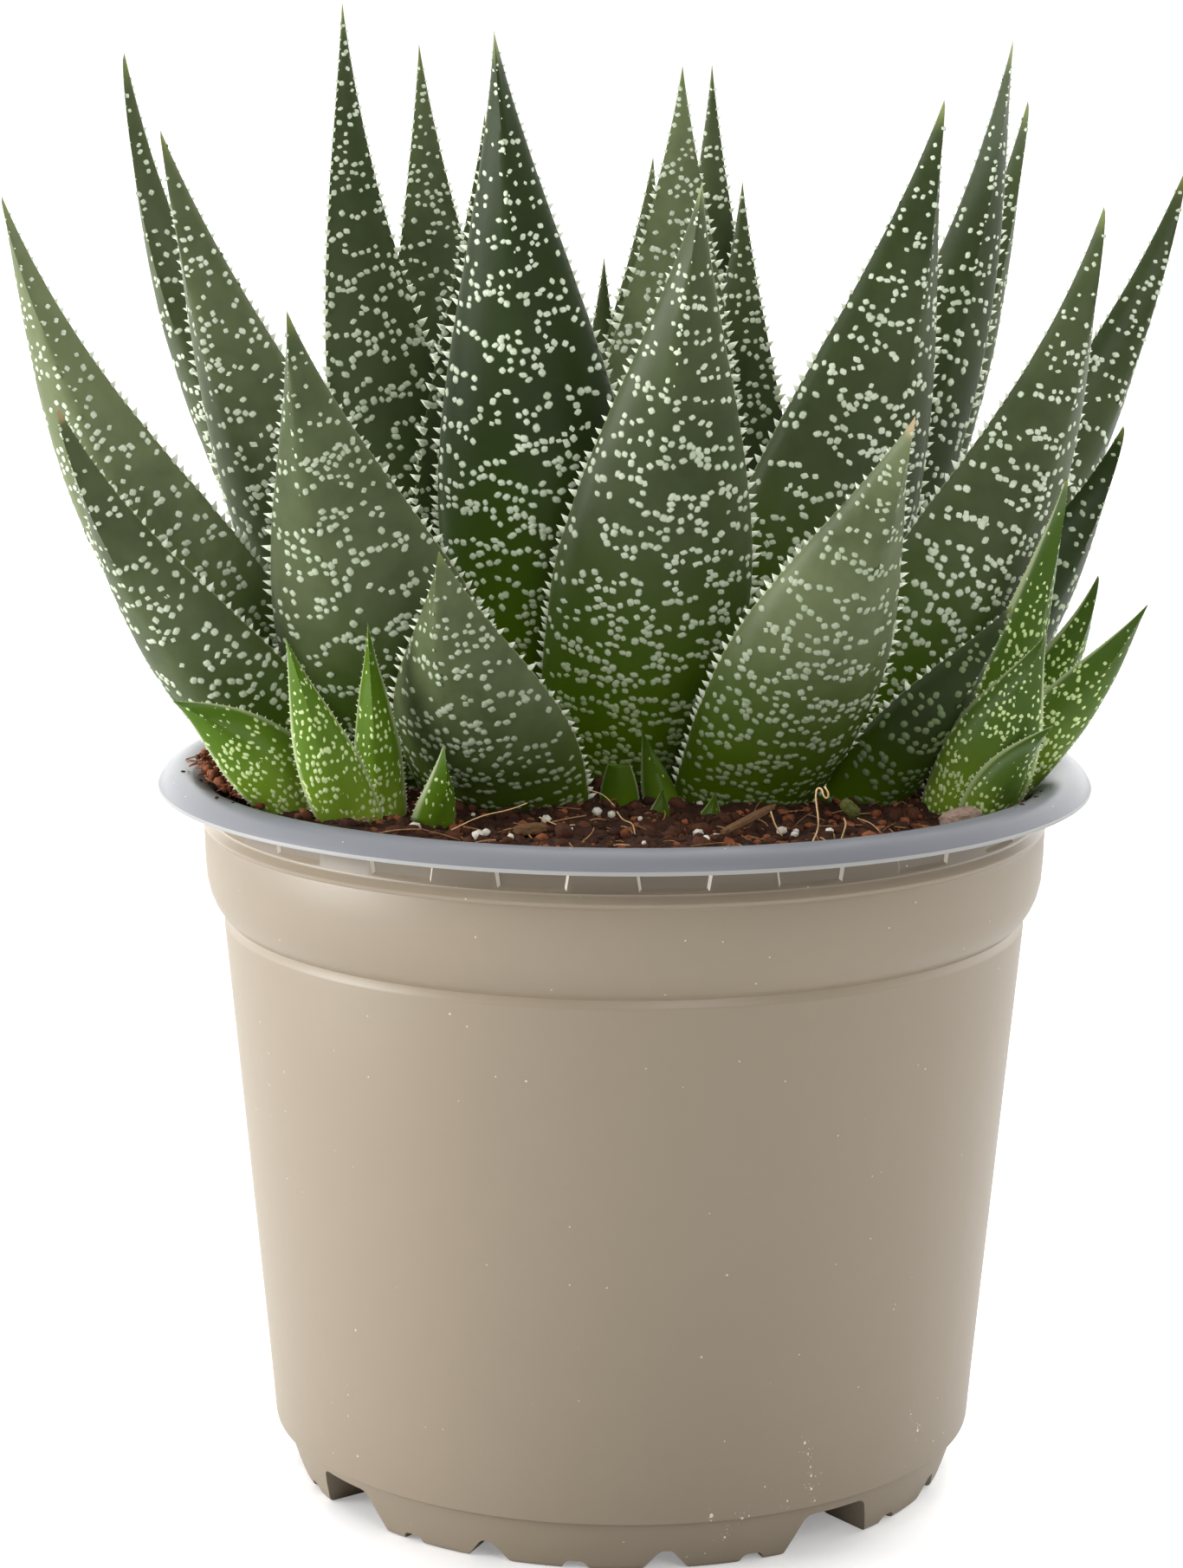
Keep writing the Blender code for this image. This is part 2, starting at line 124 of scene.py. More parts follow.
# %% Lamps
FLOOR_SIZE = 12.0
ROOM_FRONT = 0.25
ROOM_SIDES = 3.1
ROOM_GROWS = (0.0, 1.0, -0.35)
ROOM_TURNS_AT = (-0.6, 0.45)
ROOM_SEEN = 1.1
KEY = {"place": (-1.1, -0.2, 0.25), "size": 0.6, "power": 13.0}
FILL = {"place": (0.35, -1.0, 0.75), "size": 0.5, "power": 4.8}
BACK = {"place": (0.1, 0.4, 1.1), "size": 0.8, "power": 5.0}
FLOOR_SEEN = 0.86
FLOOR_GLOW = 0.25
FLOOR_BOUNCE = 0.7
FLOOR_ROUGHNESS = 0.7
LIGHTS_AIM = Vector((0.0, 0.0, 0.1))


def softbox(name, place, size, power):
    """A square area light that looks at the middle of the plant."""
    lamp = bpy.data.objects.new(name, bpy.data.lights.new(name, "AREA"))
    bpy.context.scene.collection.objects.link(lamp)
    lamp.data.size = size
    lamp.data.energy = power
    lamp.location = place
    lamp.rotation_euler = (LIGHTS_AIM - Vector(place)).to_track_quat("-Z", "Y").to_euler()
    return lamp


lamps = [softbox("key", **KEY), softbox("fill", **FILL), softbox("back", **BACK)]
print("lamps:", [lamp.name for lamp in lamps])

# %% White room
world = bpy.data.worlds.new("white_room")
world.use_nodes = True
sky = world.node_tree
backdrop = sky.nodes["Background"]
backdrop.inputs["Color"].default_value = (1.0, 1.0, 1.0, 1.0)
direction = sky.nodes.new("ShaderNodeVectorMath")
direction.operation = "DOT_PRODUCT"
direction.inputs[1].default_value = ROOM_GROWS
sky.links.new(sky.nodes.new("ShaderNodeTexCoord").outputs["Generated"], direction.inputs[0])
glow = sky.nodes.new("ShaderNodeMapRange")
glow.inputs["From Min"].default_value, glow.inputs["From Max"].default_value = ROOM_TURNS_AT
glow.inputs["To Min"].default_value, glow.inputs["To Max"].default_value = ROOM_FRONT, ROOM_SIDES
sky.links.new(direction.outputs["Value"], glow.inputs["Value"])
seen = sky.nodes.new("ShaderNodeMix")
sky.links.new(sky.nodes.new("ShaderNodeLightPath").outputs["Is Camera Ray"], seen.inputs[0])
sky.links.new(glow.outputs["Result"], seen.inputs[2])
seen.inputs[3].default_value = ROOM_SEEN
sky.links.new(seen.outputs[0], backdrop.inputs["Strength"])
bpy.context.scene.world = world
bpy.context.scene.view_settings.view_transform = "Standard"
print("strength of the room from front to back:", ROOM_FRONT, ROOM_SIDES)

# %% Floor
start_clean()
bpy.ops.mesh.primitive_plane_add(size=FLOOR_SIZE)
floor = bpy.context.object
floor.name = "floor"
floor_paint = bpy.data.materials.new("floor_paint")
floor_paint.use_nodes = True
paint = floor_paint.node_tree.nodes["Principled BSDF"]
paint.inputs["Roughness"].default_value = FLOOR_ROUGHNESS
paint.inputs["Emission Color"].default_value = (1.0, 1.0, 1.0, 1.0)
ray = floor_paint.node_tree.nodes.new("ShaderNodeLightPath").outputs["Is Camera Ray"]
for label, seen_value, bounce_value in (
    ("Base Color", FLOOR_SEEN, FLOOR_BOUNCE),
    ("Emission Strength", FLOOR_GLOW, 0.0),
):
    choice = floor_paint.node_tree.nodes.new("ShaderNodeMix")
    choice.data_type = "RGBA"
    choice.inputs[6].default_value = (bounce_value, bounce_value, bounce_value, 1.0)
    choice.inputs[7].default_value = (seen_value, seen_value, seen_value, 1.0)
    floor_paint.node_tree.links.new(ray, choice.inputs[0])
    floor_paint.node_tree.links.new(choice.outputs[2], paint.inputs[label])
floor.data.materials.append(floor_paint)
print("floor side in metres:", FLOOR_SIZE)

# %% [markdown]
# ## Node groups for the finishes
#
# Living tissue, moulded plastic and soil are never one flat colour. Three small groups make the variation that
# the materials draw on: a mottle of two noises at different scales, a fine bump, and sparse specks.

# %% Shader helpers


def new_group(name, inputs, output, output_kind="NodeSocketFloat"):
    """A shader node group with named numbers going in and one output, and both ends of its wiring."""
    group = bpy.data.node_groups.new(name, "ShaderNodeTree")
    for label, value in inputs.items():
        socket = group.interface.new_socket(name=label, in_out="INPUT", socket_type="NodeSocketFloat")
        socket.default_value = value
    group.interface.new_socket(name=output, in_out="OUTPUT", socket_type=output_kind)
    given = group.nodes.new("NodeGroupInput").outputs
    return group, given, group.nodes.new("NodeGroupOutput").inputs[output]


def add_node(tree, kind, settings=None, **inputs):
    """A node with its properties set and its inputs filled from values or linked from sockets."""
    node = tree.nodes.new(kind)
    for name, value in (settings or {}).items():
        setattr(node, name, value)
    for name, value in inputs.items():
        socket = node.inputs[int(name[1:])] if name[0] == "i" and name[1:].isdigit() else node.inputs[name]
        if isinstance(value, bpy.types.NodeSocket):
            tree.links.new(value, socket)
        else:
            socket.default_value = value
    return node


def math_node(tree, operation, first, second):
    """The result socket of a Math node."""
    return add_node(tree, "ShaderNodeMath", {"operation": operation}, i0=first, i1=second).outputs[0]


def ramp(tree, value, low, high):
    """A number that rises smoothly from 0 at low to 1 at high."""
    limits = {"From Min": low, "From Max": high}
    node = add_node(tree, "ShaderNodeMapRange", {"interpolation_type": "SMOOTHSTEP"}, Value=value, **limits)
    return node.outputs["Result"]


def blend(tree, mask, first, second):
    """The colour socket of a mix of two colours."""
    return add_node(tree, "ShaderNodeMix", {"data_type": "RGBA"}, i0=mask, i6=first, i7=second).outputs[2]


def object_noise(tree, scale, detail):
    """Noise that keeps its place on the piece."""
    here = add_node(tree, "ShaderNodeTexCoord").outputs["Object"]
    return add_node(tree, "ShaderNodeTexNoise", Vector=here, Scale=scale, Detail=detail).outputs["Fac"]


def rgb(red, green, blue):
    """A colour given as it looks on screen, 0 to 255, as the linear colour that a shader needs."""
    def linear(value):
        share = value / 255.0
        return share / 12.92 if share <= 0.04045 else ((share + 0.055) / 1.055) ** 2.4
    return (linear(red), linear(green), linear(blue), 1.0)


print("a grey of 128 as a shader needs it:", round(rgb(128, 128, 128)[0], 3))

# %% Mottle group
MOTTLE, given, result = new_group("mottle", {"Large": 60.0, "Small": 900.0, "Share": 0.35}, "Value")
broad, close = object_noise(MOTTLE, given["Large"], 3.0), object_noise(MOTTLE, given["Small"], 2.0)
both = add_node(MOTTLE, "ShaderNodeMix", {"data_type": "FLOAT"}, i0=given["Share"], i2=broad, i3=close)
MOTTLE.links.new(both.outputs[0], result)
print("nodes of the mottle:", len(MOTTLE.nodes))

# %% Fine bump group
FINE_BUMPS = {"Scale": 1500.0, "Height": 0.00005, "Strength": 0.3}
BUMPS, given, result = new_group("fine_bumps", FINE_BUMPS, "Normal", "NodeSocketVector")
grain = object_noise(BUMPS, given["Scale"], 3.0)
bump = add_node(
    BUMPS, "ShaderNodeBump", Height=grain, Strength=given["Strength"], Distance=given["Height"]
)
BUMPS.links.new(bump.outputs["Normal"], result)
print("nodes of the fine bumps:", len(BUMPS.nodes))

# %% Specks group
SPECKS, given, result = new_group("specks", {"Scale": 400.0, "Size": 0.12, "Share": 0.3}, "Mask")
here = add_node(SPECKS, "ShaderNodeTexCoord").outputs["Object"]
cells = add_node(SPECKS, "ShaderNodeTexVoronoi", Vector=here, Scale=given["Scale"])
is_near = math_node(SPECKS, "LESS_THAN", cells.outputs["Distance"], given["Size"])
lot = add_node(SPECKS, "ShaderNodeSeparateColor", Color=cells.outputs["Color"])
is_drawn = math_node(SPECKS, "LESS_THAN", lot.outputs[0], given["Share"])
SPECKS.links.new(math_node(SPECKS, "MULTIPLY", is_near, is_drawn), result)
print("nodes of the specks:", len(SPECKS.nodes))

# %% Material helpers


def use_group(tree, group, **values):
    """A group placed in a material, with its own values."""
    node = add_node(tree, "ShaderNodeGroup", {"node_tree": group})
    for name, value in values.items():
        node.inputs[name].default_value = value
    return node.outputs[0]


def new_material(name, roughness, specular=0.5):
    """An empty Principled material: its tree and its shader."""
    made = bpy.data.materials.new(name)
    made.use_nodes = True
    shader = made.node_tree.nodes["Principled BSDF"]
    shader.inputs["Roughness"].default_value = roughness
    shader.inputs["Specular IOR Level"].default_value = specular
    return made, made.node_tree, shader


def finish_material(tree, shader, colour, scale, height, strength):
    """Links a colour and fine bumps to the shader."""
    tree.links.new(colour, shader.inputs["Base Color"])
    normal = use_group(tree, BUMPS, Scale=scale, Height=height, Strength=strength)
    tree.links.new(normal, shader.inputs["Normal"])


print("shader groups:", [group.name for group in bpy.data.node_groups])

# %% [markdown]
# ## Leaf finishes
#
# A gasteria leaf is dark green under a grey bloom. The bloom's grey also stands for a painted sheen: it grows up
# the leaf and is strongest on the leaves that would catch the light. The leaf is paler and yellower where it was
# shaded at the foot, its margin is a thin horny line, and its point is yellow-green, or brown where it has dried.
# Every leaf mesh carries numbers that say how far along it a point lies, how near the margin, and how dry it is,
# so one material serves all leaves of a kind.

# %% Skin colours
LEAF_POINT = rgb(112, 122, 62)
LEAF_DRY = rgb(152, 134, 98)
HORNY_EDGE = rgb(176, 188, 138)
YOUNG_GREEN = rgb(110, 144, 6)
# The bloom's colours, and where along the leaf the bloom grows in, also serve as a painted sheen.
YOUNG_BLOOM_AND_SHEEN = rgb(104, 134, 66)
BLOOM_AND_SHEEN_BETWEEN = (0.12, 0.55)
FOOT_BETWEEN = (0.1, 0.58)
FOOT_STRENGTH = 0.85
TIP_BETWEEN = (0.25, 0.9)
POINT_BETWEEN = (0.955, 1.0)


class Skin(NamedTuple):
    """A leaf's colours, how wide and strong its horny edge is, its roughness, and how dark it is at the tip."""

    green: tuple
    deep: tuple
    bloom: tuple
    foot: tuple
    edge_width: float
    edge_strength: float
    roughness: float
    dark_tip: float = 0.0


SKINS = {
    "leaf_skin": Skin(
        rgb(38, 54, 12), rgb(20, 32, 5), rgb(112, 122, 85), rgb(84, 112, 4), 0.006, 0.4, 0.42
    ),
    "young_skin": Skin(
        YOUNG_GREEN, rgb(58, 88, 6), YOUNG_BLOOM_AND_SHEEN, rgb(146, 172, 56), 0.13, 0.9, 0.38, 0.62
    ),
    # The next two skins are darker copies of the young skin: painted shade for the offsets that stand in shade.
    "shaded_young_skin": Skin(
        rgb(96, 126, 14), rgb(48, 72, 14), rgb(96, 120, 66), rgb(126, 152, 44), 0.11, 0.8, 0.38, 0.7
    ),
    "shaded_skin": Skin(
        rgb(84, 110, 22), rgb(56, 80, 14), YOUNG_GREEN, YOUNG_GREEN, 0.13, 0.7, 0.40, 0.5
    ),
}
print("kinds of skin:", len(SKINS))

# %% Skin material


def attribute(tree, name):
    """A number that the mesh carries."""
    return add_node(tree, "ShaderNodeAttribute", {"attribute_name": name}).outputs["Fac"]


def skin_material(name, skin):
    """Green skin: mottled, with bloom and painted sheen, paler at the foot, a horny edge and a point that may be
    dry.
    """
    made, tree, shader = new_material(name, skin.roughness, specular=0.16)
    along = attribute(tree, "along")
    colour = blend(tree, use_group(tree, MOTTLE, Large=90.0, Small=700.0, Share=0.3), skin.deep, skin.green)
    # The bloom's grey is also a painted sheen: a mottle, times each leaf's number, growing up the leaf.
    bloom_and_sheen_share = ramp(tree, use_group(tree, MOTTLE, Large=45.0, Small=420.0, Share=0.25), 0.0, 0.75)
    bloom_and_sheen_share = math_node(tree, "MULTIPLY", bloom_and_sheen_share, attribute(tree, "bloom"))
    bloom_and_sheen_share = math_node(tree, "MULTIPLY", bloom_and_sheen_share, ramp(tree, along, *BLOOM_AND_SHEEN_BETWEEN))
    colour = blend(tree, bloom_and_sheen_share, colour, skin.bloom)
    low = math_node(tree, "SUBTRACT", 1.0, ramp(tree, along, *FOOT_BETWEEN))
    colour = blend(tree, math_node(tree, "MULTIPLY", low, FOOT_STRENGTH), colour, skin.foot)
    if skin.dark_tip:
        high = math_node(tree, "MULTIPLY", ramp(tree, along, *TIP_BETWEEN), skin.dark_tip)
        colour = blend(tree, high, colour, skin.deep)
    colour = blend(tree, ramp(tree, along, *POINT_BETWEEN), colour, LEAF_POINT)
    edge = ramp(tree, attribute(tree, "edge"), 1.0 - skin.edge_width, 1.0)
    colour = blend(tree, math_node(tree, "MULTIPLY", edge, skin.edge_strength), colour, HORNY_EDGE)
    colour = blend(tree, attribute(tree, "dry"), colour, LEAF_DRY)
    finish_material(tree, shader, colour, 1400.0, 0.00006, 0.35)
    return made


skins = {name: skin_material(name, skin) for name, skin in SKINS.items()}
print("skin materials:", list(skins))

# %% Tubercles and teeth
TOOTH_WHITE = rgb(232, 236, 220)
TOOTH_ROOT = rgb(206, 214, 186)
YOUNG_FLECK = rgb(206, 222, 160)


def wart_material(name, pale, foot, veiled_and_shaded, rim):
    """Pale in the middle, yellower near the foot, dulled by bloom and painted shade, fading into the skin at the
    rim.
    """
    made, tree, shader = new_material(name, 0.55, specular=0.3)
    top = blend(tree, ramp(tree, attribute(tree, "along"), 0.1, 0.5), foot, pale)
    # The veil dulls the tubercles: bloom on most leaves, and painted shade on the leaves that stand in shade.
    top = blend(tree, attribute(tree, "veil"), top, veiled_and_shaded)
    patchy = ramp(tree, use_group(tree, MOTTLE, Large=160.0, Small=1600.0, Share=0.4), 0.3, 0.6)
    top = blend(tree, math_node(tree, "ADD", math_node(tree, "MULTIPLY", patchy, 0.4), 0.6), veiled_and_shaded, top)
    colour = blend(tree, ramp(tree, attribute(tree, "rise"), 0.0, 0.9), rim, top)
    tree.links.new(colour, shader.inputs["Base Color"])
    return made


# The third colour, the veiled one, is dull for bloom and dark for painted shade.
wart_skin = wart_material(
    "tubercle", rgb(208, 216, 194), rgb(166, 184, 118), rgb(112, 128, 88), rgb(78, 98, 58)
)
fleck_skin = wart_material("young_fleck", YOUNG_FLECK, YOUNG_FLECK, YOUNG_BLOOM_AND_SHEEN, YOUNG_GREEN)
tooth_skin = wart_material("tooth", TOOTH_WHITE, TOOTH_WHITE, TOOTH_ROOT, TOOTH_ROOT)
print("materials on the skin:", [made.name for made in (wart_skin, fleck_skin, tooth_skin)])

# %% [markdown]
# ## The leaves on paper
#
# Each leaf is written down as its maker's marks: where its foot stands on the stem, where its point is, how its
# back is bent between the two, how wide and thick it is, and where its keel looks. The last numbers are what
# makes it one of its own: how far it sways, how far the keel sits off the middle, how strong the bloom is on the
# skin together with its painted sheen, how strong the veil on the tubercles is, which is bloom and also painted
# shade, how many more tubercles there are than on the others, and how much of the point has dried.

# %% A leaf's values
LEAF_FOOT = 86.0
WIDEST_AT = 0.38
FOOT_NARROWING = 0.25
LEVEL_UNTIL = 0.28
INNER_BULGE = 0.18
ROUNDNESS = 0.56
PLUMPNESS = 1.15
KEEL_FROM = 0.4
KEEL_SHARE_LOW = 0.08
KEEL_SHARE_GAIN = 0.5
KEEL_GROWTH = 1.5
KEEL_HOLLOW = 0.6


class Leaf(NamedTuple):
    """Foot and point in mm, the elbow's shares of the way out and up, sizes in mm, and the numbers for looks."""

    foot: tuple
    tip: tuple
    out: float
    up: float
    width: float
    thickness: float
    faces: float
    sway: float = 0.0
    keel: float = 0.0
    # bloom: the grey bloom, and also a painted sheen on the leaves that catch the light.
    bloom: float = 0.4
    # veil: how much the tubercles are dulled, by bloom and also as painted shade.
    veil: float = 0.0
    spots: float = 0.0
    dry: float = 0.0


print("a leaf's values:", Leaf._fields)

# %% Left crown
LEFT_CROWN = [
    Leaf(
        (-13, -11), (-22.4, -37, 125.5), 0.60, 0.45, 24, 6.5, -110, keel=0.4, bloom=0.7, veil=0.45, spots=0.08
    ),
    Leaf((-19.5, -1.5), (-40.4, -33, 153.5), 0.65, 0.40, 27, 6.5, -100, keel=0.6, bloom=0.5, veil=0.35),
    Leaf((-31.5, -6), (-68.7, -26, 141.5), 0.63, 0.39, 17, 6.0, -120, sway=0.5, bloom=0.45, veil=0.2, dry=0.03),
    Leaf((-42.5, -0.5), (-61.5, -11, 111.0), 0.45, 0.62, 9, 3.5, -120, bloom=0.6),
    Leaf((-34.5, 4), (-76.6, -14, 166.0), 0.62, 0.39, 20, 6.5, -112, sway=1.0, keel=-0.5, bloom=0.95),
    Leaf((-24, 6), (-57.7, -8, 173.8), 0.54, 0.42, 20, 6.5, -105, sway=0.5, keel=0.8, bloom=0.6),
    Leaf((-29.8, 20.3), (-65.3, 20, 183.0), 0.56, 0.40, 14, 6.0, -120, sway=2.1),
    Leaf((-19, 15), (-36.9, 20, 189.5), 0.72, 0.38, 19, 6.5, 110, sway=1.0, bloom=0.32),
    Leaf((-17, 22), (-27.7, 36, 184.3), 0.70, 0.40, 20, 6.0, 100, bloom=0.6),
    Leaf((-8, 6), (-16.4, -14, 186.0), 0.40, 0.45, 26, 6.5, -95, keel=-0.1, bloom=0.05),
    Leaf((-20, 8.7), (-18.2, 10.5, 175.5), 0.50, 0.50, 17, 5.0, 105),
    Leaf((-4, 27.5), (-2.8, 29, 156.5), 0.60, 0.45, 14, 5.0, 90, spots=-0.4),
    Leaf((-26, 28), (-44, 46, 140), 0.60, 0.42, 16, 6.0, 125),
    Leaf((-14, 30), (-20, 53, 146), 0.60, 0.42, 18, 6.5, 105),
    Leaf((-39, 20), (-62, 32, 124), 0.50, 0.60, 14, 6.0, 155),
    Leaf((-4, 36), (-6, 56, 122), 0.60, 0.50, 15, 6.0, 95),
]
print("leaves in the left crown:", len(LEFT_CROWN))

# %% Right crown
RIGHT_CROWN = [
    Leaf((-1.5, -2), (8.7, -26, 168.5), 0.60, 0.45, 25, 6.5, -90, keel=0.15, bloom=0.32, veil=0.1),
    Leaf(
        (12.5, -11), (33.5, -40, 142.0), 0.50, 0.48, 21, 6.5, -75,
        keel=-0.5, bloom=0.75, veil=0.5, spots=0.06, dry=0.04,
    ),
    Leaf((26, -8), (47.2, -22, 117.0), 0.50, 0.50, 12, 5.5, -60, bloom=0.1, veil=1.0, spots=0.15),
    Leaf((24, 0), (58.7, -10, 165.0), 0.64, 0.39, 21, 6.5, -65, sway=0.9, keel=-0.4, bloom=0.4, spots=0.04),
    Leaf((14, 3), (39.1, -6, 177.8), 0.52, 0.44, 25, 6.5, -70, sway=0.5, keel=-0.5, bloom=0.25),
    Leaf((3.5, 10), (7.1, 12, 181.7), 0.40, 0.50, 21.5, 6.0, 100, sway=0.6, bloom=1.0),
    Leaf((12, 21), (11.4, 30, 181.8), 0.60, 0.45, 16, 5.5, 80),
    Leaf((-1.8, 19), (3.6, 24, 170.0), 0.50, 0.45, 18.5, 5.0, 100, bloom=1.0),
    Leaf((14.5, 15), (15.3, 22, 166.8), 0.60, 0.45, 17, 5.5, 75),
    Leaf((22, 12), (49.1, 10, 185.0), 0.49, 0.42, 17, 6.0, -80, sway=1.8, bloom=0.2),
    Leaf((25.5, 19), (52.5, 22, 177.2), 0.44, 0.44, 15, 5.5, -60, sway=1.65),
    Leaf((33.5, 20), (76.6, 44, 167.5), 0.52, 0.41, 17, 6.0, -50, sway=1.2, keel=-0.4, bloom=0.3),
    Leaf((32, 8), (64.6, 10, 136.0), 0.58, 0.42, 16, 5.5, -50, sway=0.5, bloom=0.05, veil=0.5, spots=0.15),
    Leaf((5, 31.5), (6, 54, 146), 0.60, 0.42, 18, 6.5, 92),
    Leaf((20, 29), (32, 52, 150), 0.60, 0.42, 20, 6.5, 65),
    Leaf((30, 31), (50, 44, 130), 0.55, 0.55, 18, 6.5, 40),
]
print("leaves in the right crown:", len(RIGHT_CROWN))

# %% Offsets
LEFT_OFFSET = [
    Leaf((-33.5, -24.5), (-55.3, -28, 105.8), 0.60, 0.82, 10, 3.0, -80, bloom=0.2, spots=-0.2),
    Leaf((-31, -28.5), (-40.8, -36, 115.0), 0.60, 0.45, 8, 3.0, -80, spots=0.35),
    Leaf((-29.5, -21.5), (-31.3, -30, 116.0), 0.60, 0.45, 6, 4.0, -90, bloom=0.3),
    Leaf((-25, -27), (-22.0, -36, 102.0), 0.60, 0.45, 6, 3.0, -60, bloom=0.3, spots=-0.15),
    Leaf((-34, -17.5), (-36.5, -22, 100.0), 0.60, 0.45, 6, 3.0, 90),
]

RIGHT_OFFSET = [
    Leaf((41, -2), (54.5, -14, 132.0), 0.60, 0.45, 9, 4.5, -60),
    Leaf((41, -14), (51.2, -26, 114.3), 0.50, 0.50, 12, 3.5, -100, bloom=0.4),
    Leaf((46, 3), (59.8, -6, 118.7), 0.52, 0.54, 9, 3.5, -60, sway=0.8),
    Leaf((44.2, -7.5), (65.0, -15, 116.4), 0.56, 0.57, 8, 3.0, -80, sway=0.4, spots=-0.25),
    Leaf((42.5, -18), (52.1, -27, 103.0), 0.35, 0.65, 6, 3.0, -80),
]

FRONT_OFFSET = [
    Leaf((6.2, -18.4), (2.0, -18.0, 100.8), 0.60, 0.50, 4.5, 2.3, -70, bloom=0.2),
    Leaf((-0.6, -17.2), (-0.9, -19.5, 101.5), 0.60, 0.45, 5, 2.0, -90, bloom=0.2),
    Leaf((3.5, -21.5), (4.5, -24, 94.6), 0.60, 0.45, 4, 2.0, -80, bloom=0.2),
    Leaf((9.5, -22), (11.0, -24, 94.0), 0.60, 0.45, 4, 2.0, -90, bloom=0.2),
]
BLUNT_LEAF = "front_offset_leaf_2"
BLUNT_HEIGHT = 96.5
print("leaves in the offsets:", len(LEFT_OFFSET), len(RIGHT_OFFSET), len(FRONT_OFFSET))

# %% [markdown]
# ## The leaf's surface as a formula
#
# The spine is a curve from the foot through an elbow to the point. At every place on it the cross-section is a
# lens with a keel, wide and full a third of the way up and vanishing at the point. One function gives the surface
# at any place along and around the leaf. The skin, the tubercles and the teeth all ask it where they belong, so
# nothing floats.

# %% Leaf surface


def unit(vectors):
    """The vectors at length 1."""
    return vectors / np.linalg.norm(vectors, axis=-1, keepdims=True)


def taper(along):
    """The share of the full width, by the distance along the leaf."""
    towards_tip = np.minimum((1.0 - along) / (1.0 - WIDEST_AT), 1.0)
    smooth = towards_tip ** 2 * (3.0 - 2.0 * towards_tip)
    swelling = (np.sin(towards_tip * np.pi / 2) + smooth) / 2
    below = np.maximum(1.0 - along / WIDEST_AT, 0.0)
    return swelling * (1.0 - FOOT_NARROWING * below ** 2)


def spine(leaf, along):
    """The spine's points and the directions across, outwards and onwards at each of them."""
    along = np.asarray(along, float)[..., None]
    foot = np.array((*leaf.foot, LEAF_FOOT))
    tip = np.array(leaf.tip, float)
    elbow = foot + (tip - foot) * (leaf.out, leaf.out, leaf.up)
    rest = 1.0 - along
    point = foot * rest ** 2 + elbow * 2.0 * along * rest + tip * along ** 2
    away = unit((tip - foot) * (1.0, 1.0, 0.0)) * leaf.sway
    point = point - away * np.sin(2 * np.pi * along)
    onward = unit((elbow - foot) * rest + (tip - elbow) * along - away * np.pi * np.cos(2 * np.pi * along))
    share = np.minimum(along / LEVEL_UNTIL, 1.0)
    onward = unit(UP * (1.0 - share) + onward * share)
    turn = math.radians(leaf.faces)
    facing = np.array((math.cos(turn), math.sin(turn), 0.0))
    outward = unit(facing - onward * (onward @ facing)[..., None])
    return point, np.cross(outward, onward), outward, onward


def surface(leaf, along, turn):
    """Points on the skin. A turn of 0 and of pi are the margins, and between them lies the keeled outer side."""
    point, across, outward, onward = spine(leaf, along)
    share = taper(along)
    side = np.cos(turn)
    late = np.clip((along - KEEL_FROM) / (1.0 - KEEL_FROM), 0.0, 1.0)
    keel_at = leaf.keel * late
    keel_share = KEEL_SHARE_LOW + KEEL_SHARE_GAIN * late ** KEEL_GROWTH
    from_keel = side - keel_at
    ridge = 1.0 - np.where(from_keel > 0.0, from_keel / (1.0 - keel_at), -from_keel / (1.0 + keel_at))
    full = 1.0 - side ** 2
    crest = ridge * (1.0 - KEEL_HOLLOW + KEEL_HOLLOW * ridge)
    outer = (1.0 - keel_share) * full ** ROUNDNESS + keel_share * crest
    lift = np.where(np.sin(turn) >= 0.0, outer * PLUMPNESS, -INNER_BULGE * full)
    depth = leaf.thickness / (1.0 + INNER_BULGE) * np.sqrt(share)
    return point + across * (side * leaf.width / 2 * share)[..., None] + outward * (lift * depth)[..., None]


def stance(leaf, along, turn):
    """The skin's points there, with the directions across, outwards and onwards on the skin itself."""
    step = 0.01
    here = surface(leaf, along, turn)
    onward = unit(surface(leaf, np.minimum(along + step, 1.0), turn) - surface(leaf, along - step, turn))
    around = unit(surface(leaf, along, turn + step) - surface(leaf, along, turn - step))
    out = unit(np.cross(around, onward))
    return here, unit(np.cross(onward, out)), out, onward


print("longest leaf in mm:", round(max(leaf.tip[2] for leaf in LEFT_CROWN) - LEAF_FOOT))

# %% [markdown]
# ## Blanks: one wart and one tooth
#
# A tubercle is a low bump, and a tooth is a small flat thorn that leans towards the leaf's point. Each is modelled
# once from a cone, at unit size, and copied thousands of times with numpy, which is far faster than adding
# thousands of objects. With so many copies every face counts: the bump has eight sides at its root and only four
# points on top, and smooth shading rounds it.

# %% Helpers for blanks


def pick_points(piece, is_wanted):
    """Selects the points of a piece in object mode by a test on their place, in metres."""
    mesh = piece.data
    for group in (mesh.polygons, mesh.edges, mesh.vertices):
        group.foreach_set("select", [False] * len(group))
    for point in mesh.vertices:
        point.select = is_wanted(point.co)
    for group in (mesh.edges, mesh.polygons):
        for part in group:
            part.select = all(mesh.vertices[index].select for index in part.vertices)


class Blank(NamedTuple):
    """A small mesh as arrays: points, the faces' corners in a row, and how many corners each face has."""

    points: np.ndarray
    corners: np.ndarray
    sizes: np.ndarray


def as_blank(piece):
    """Reads a modelled object into arrays and removes it."""
    mesh = piece.data
    points = np.zeros(len(mesh.vertices) * 3)
    mesh.vertices.foreach_get("co", points)
    corners = np.zeros(len(mesh.loops), int)
    mesh.loops.foreach_get("vertex_index", corners)
    sizes = np.zeros(len(mesh.polygons), int)
    mesh.polygons.foreach_get("loop_total", sizes)
    bpy.data.objects.remove(piece, do_unlink=True)
    return Blank(points.reshape(-1, 3), corners, sizes)


print("arrays of a blank:", Blank._fields)

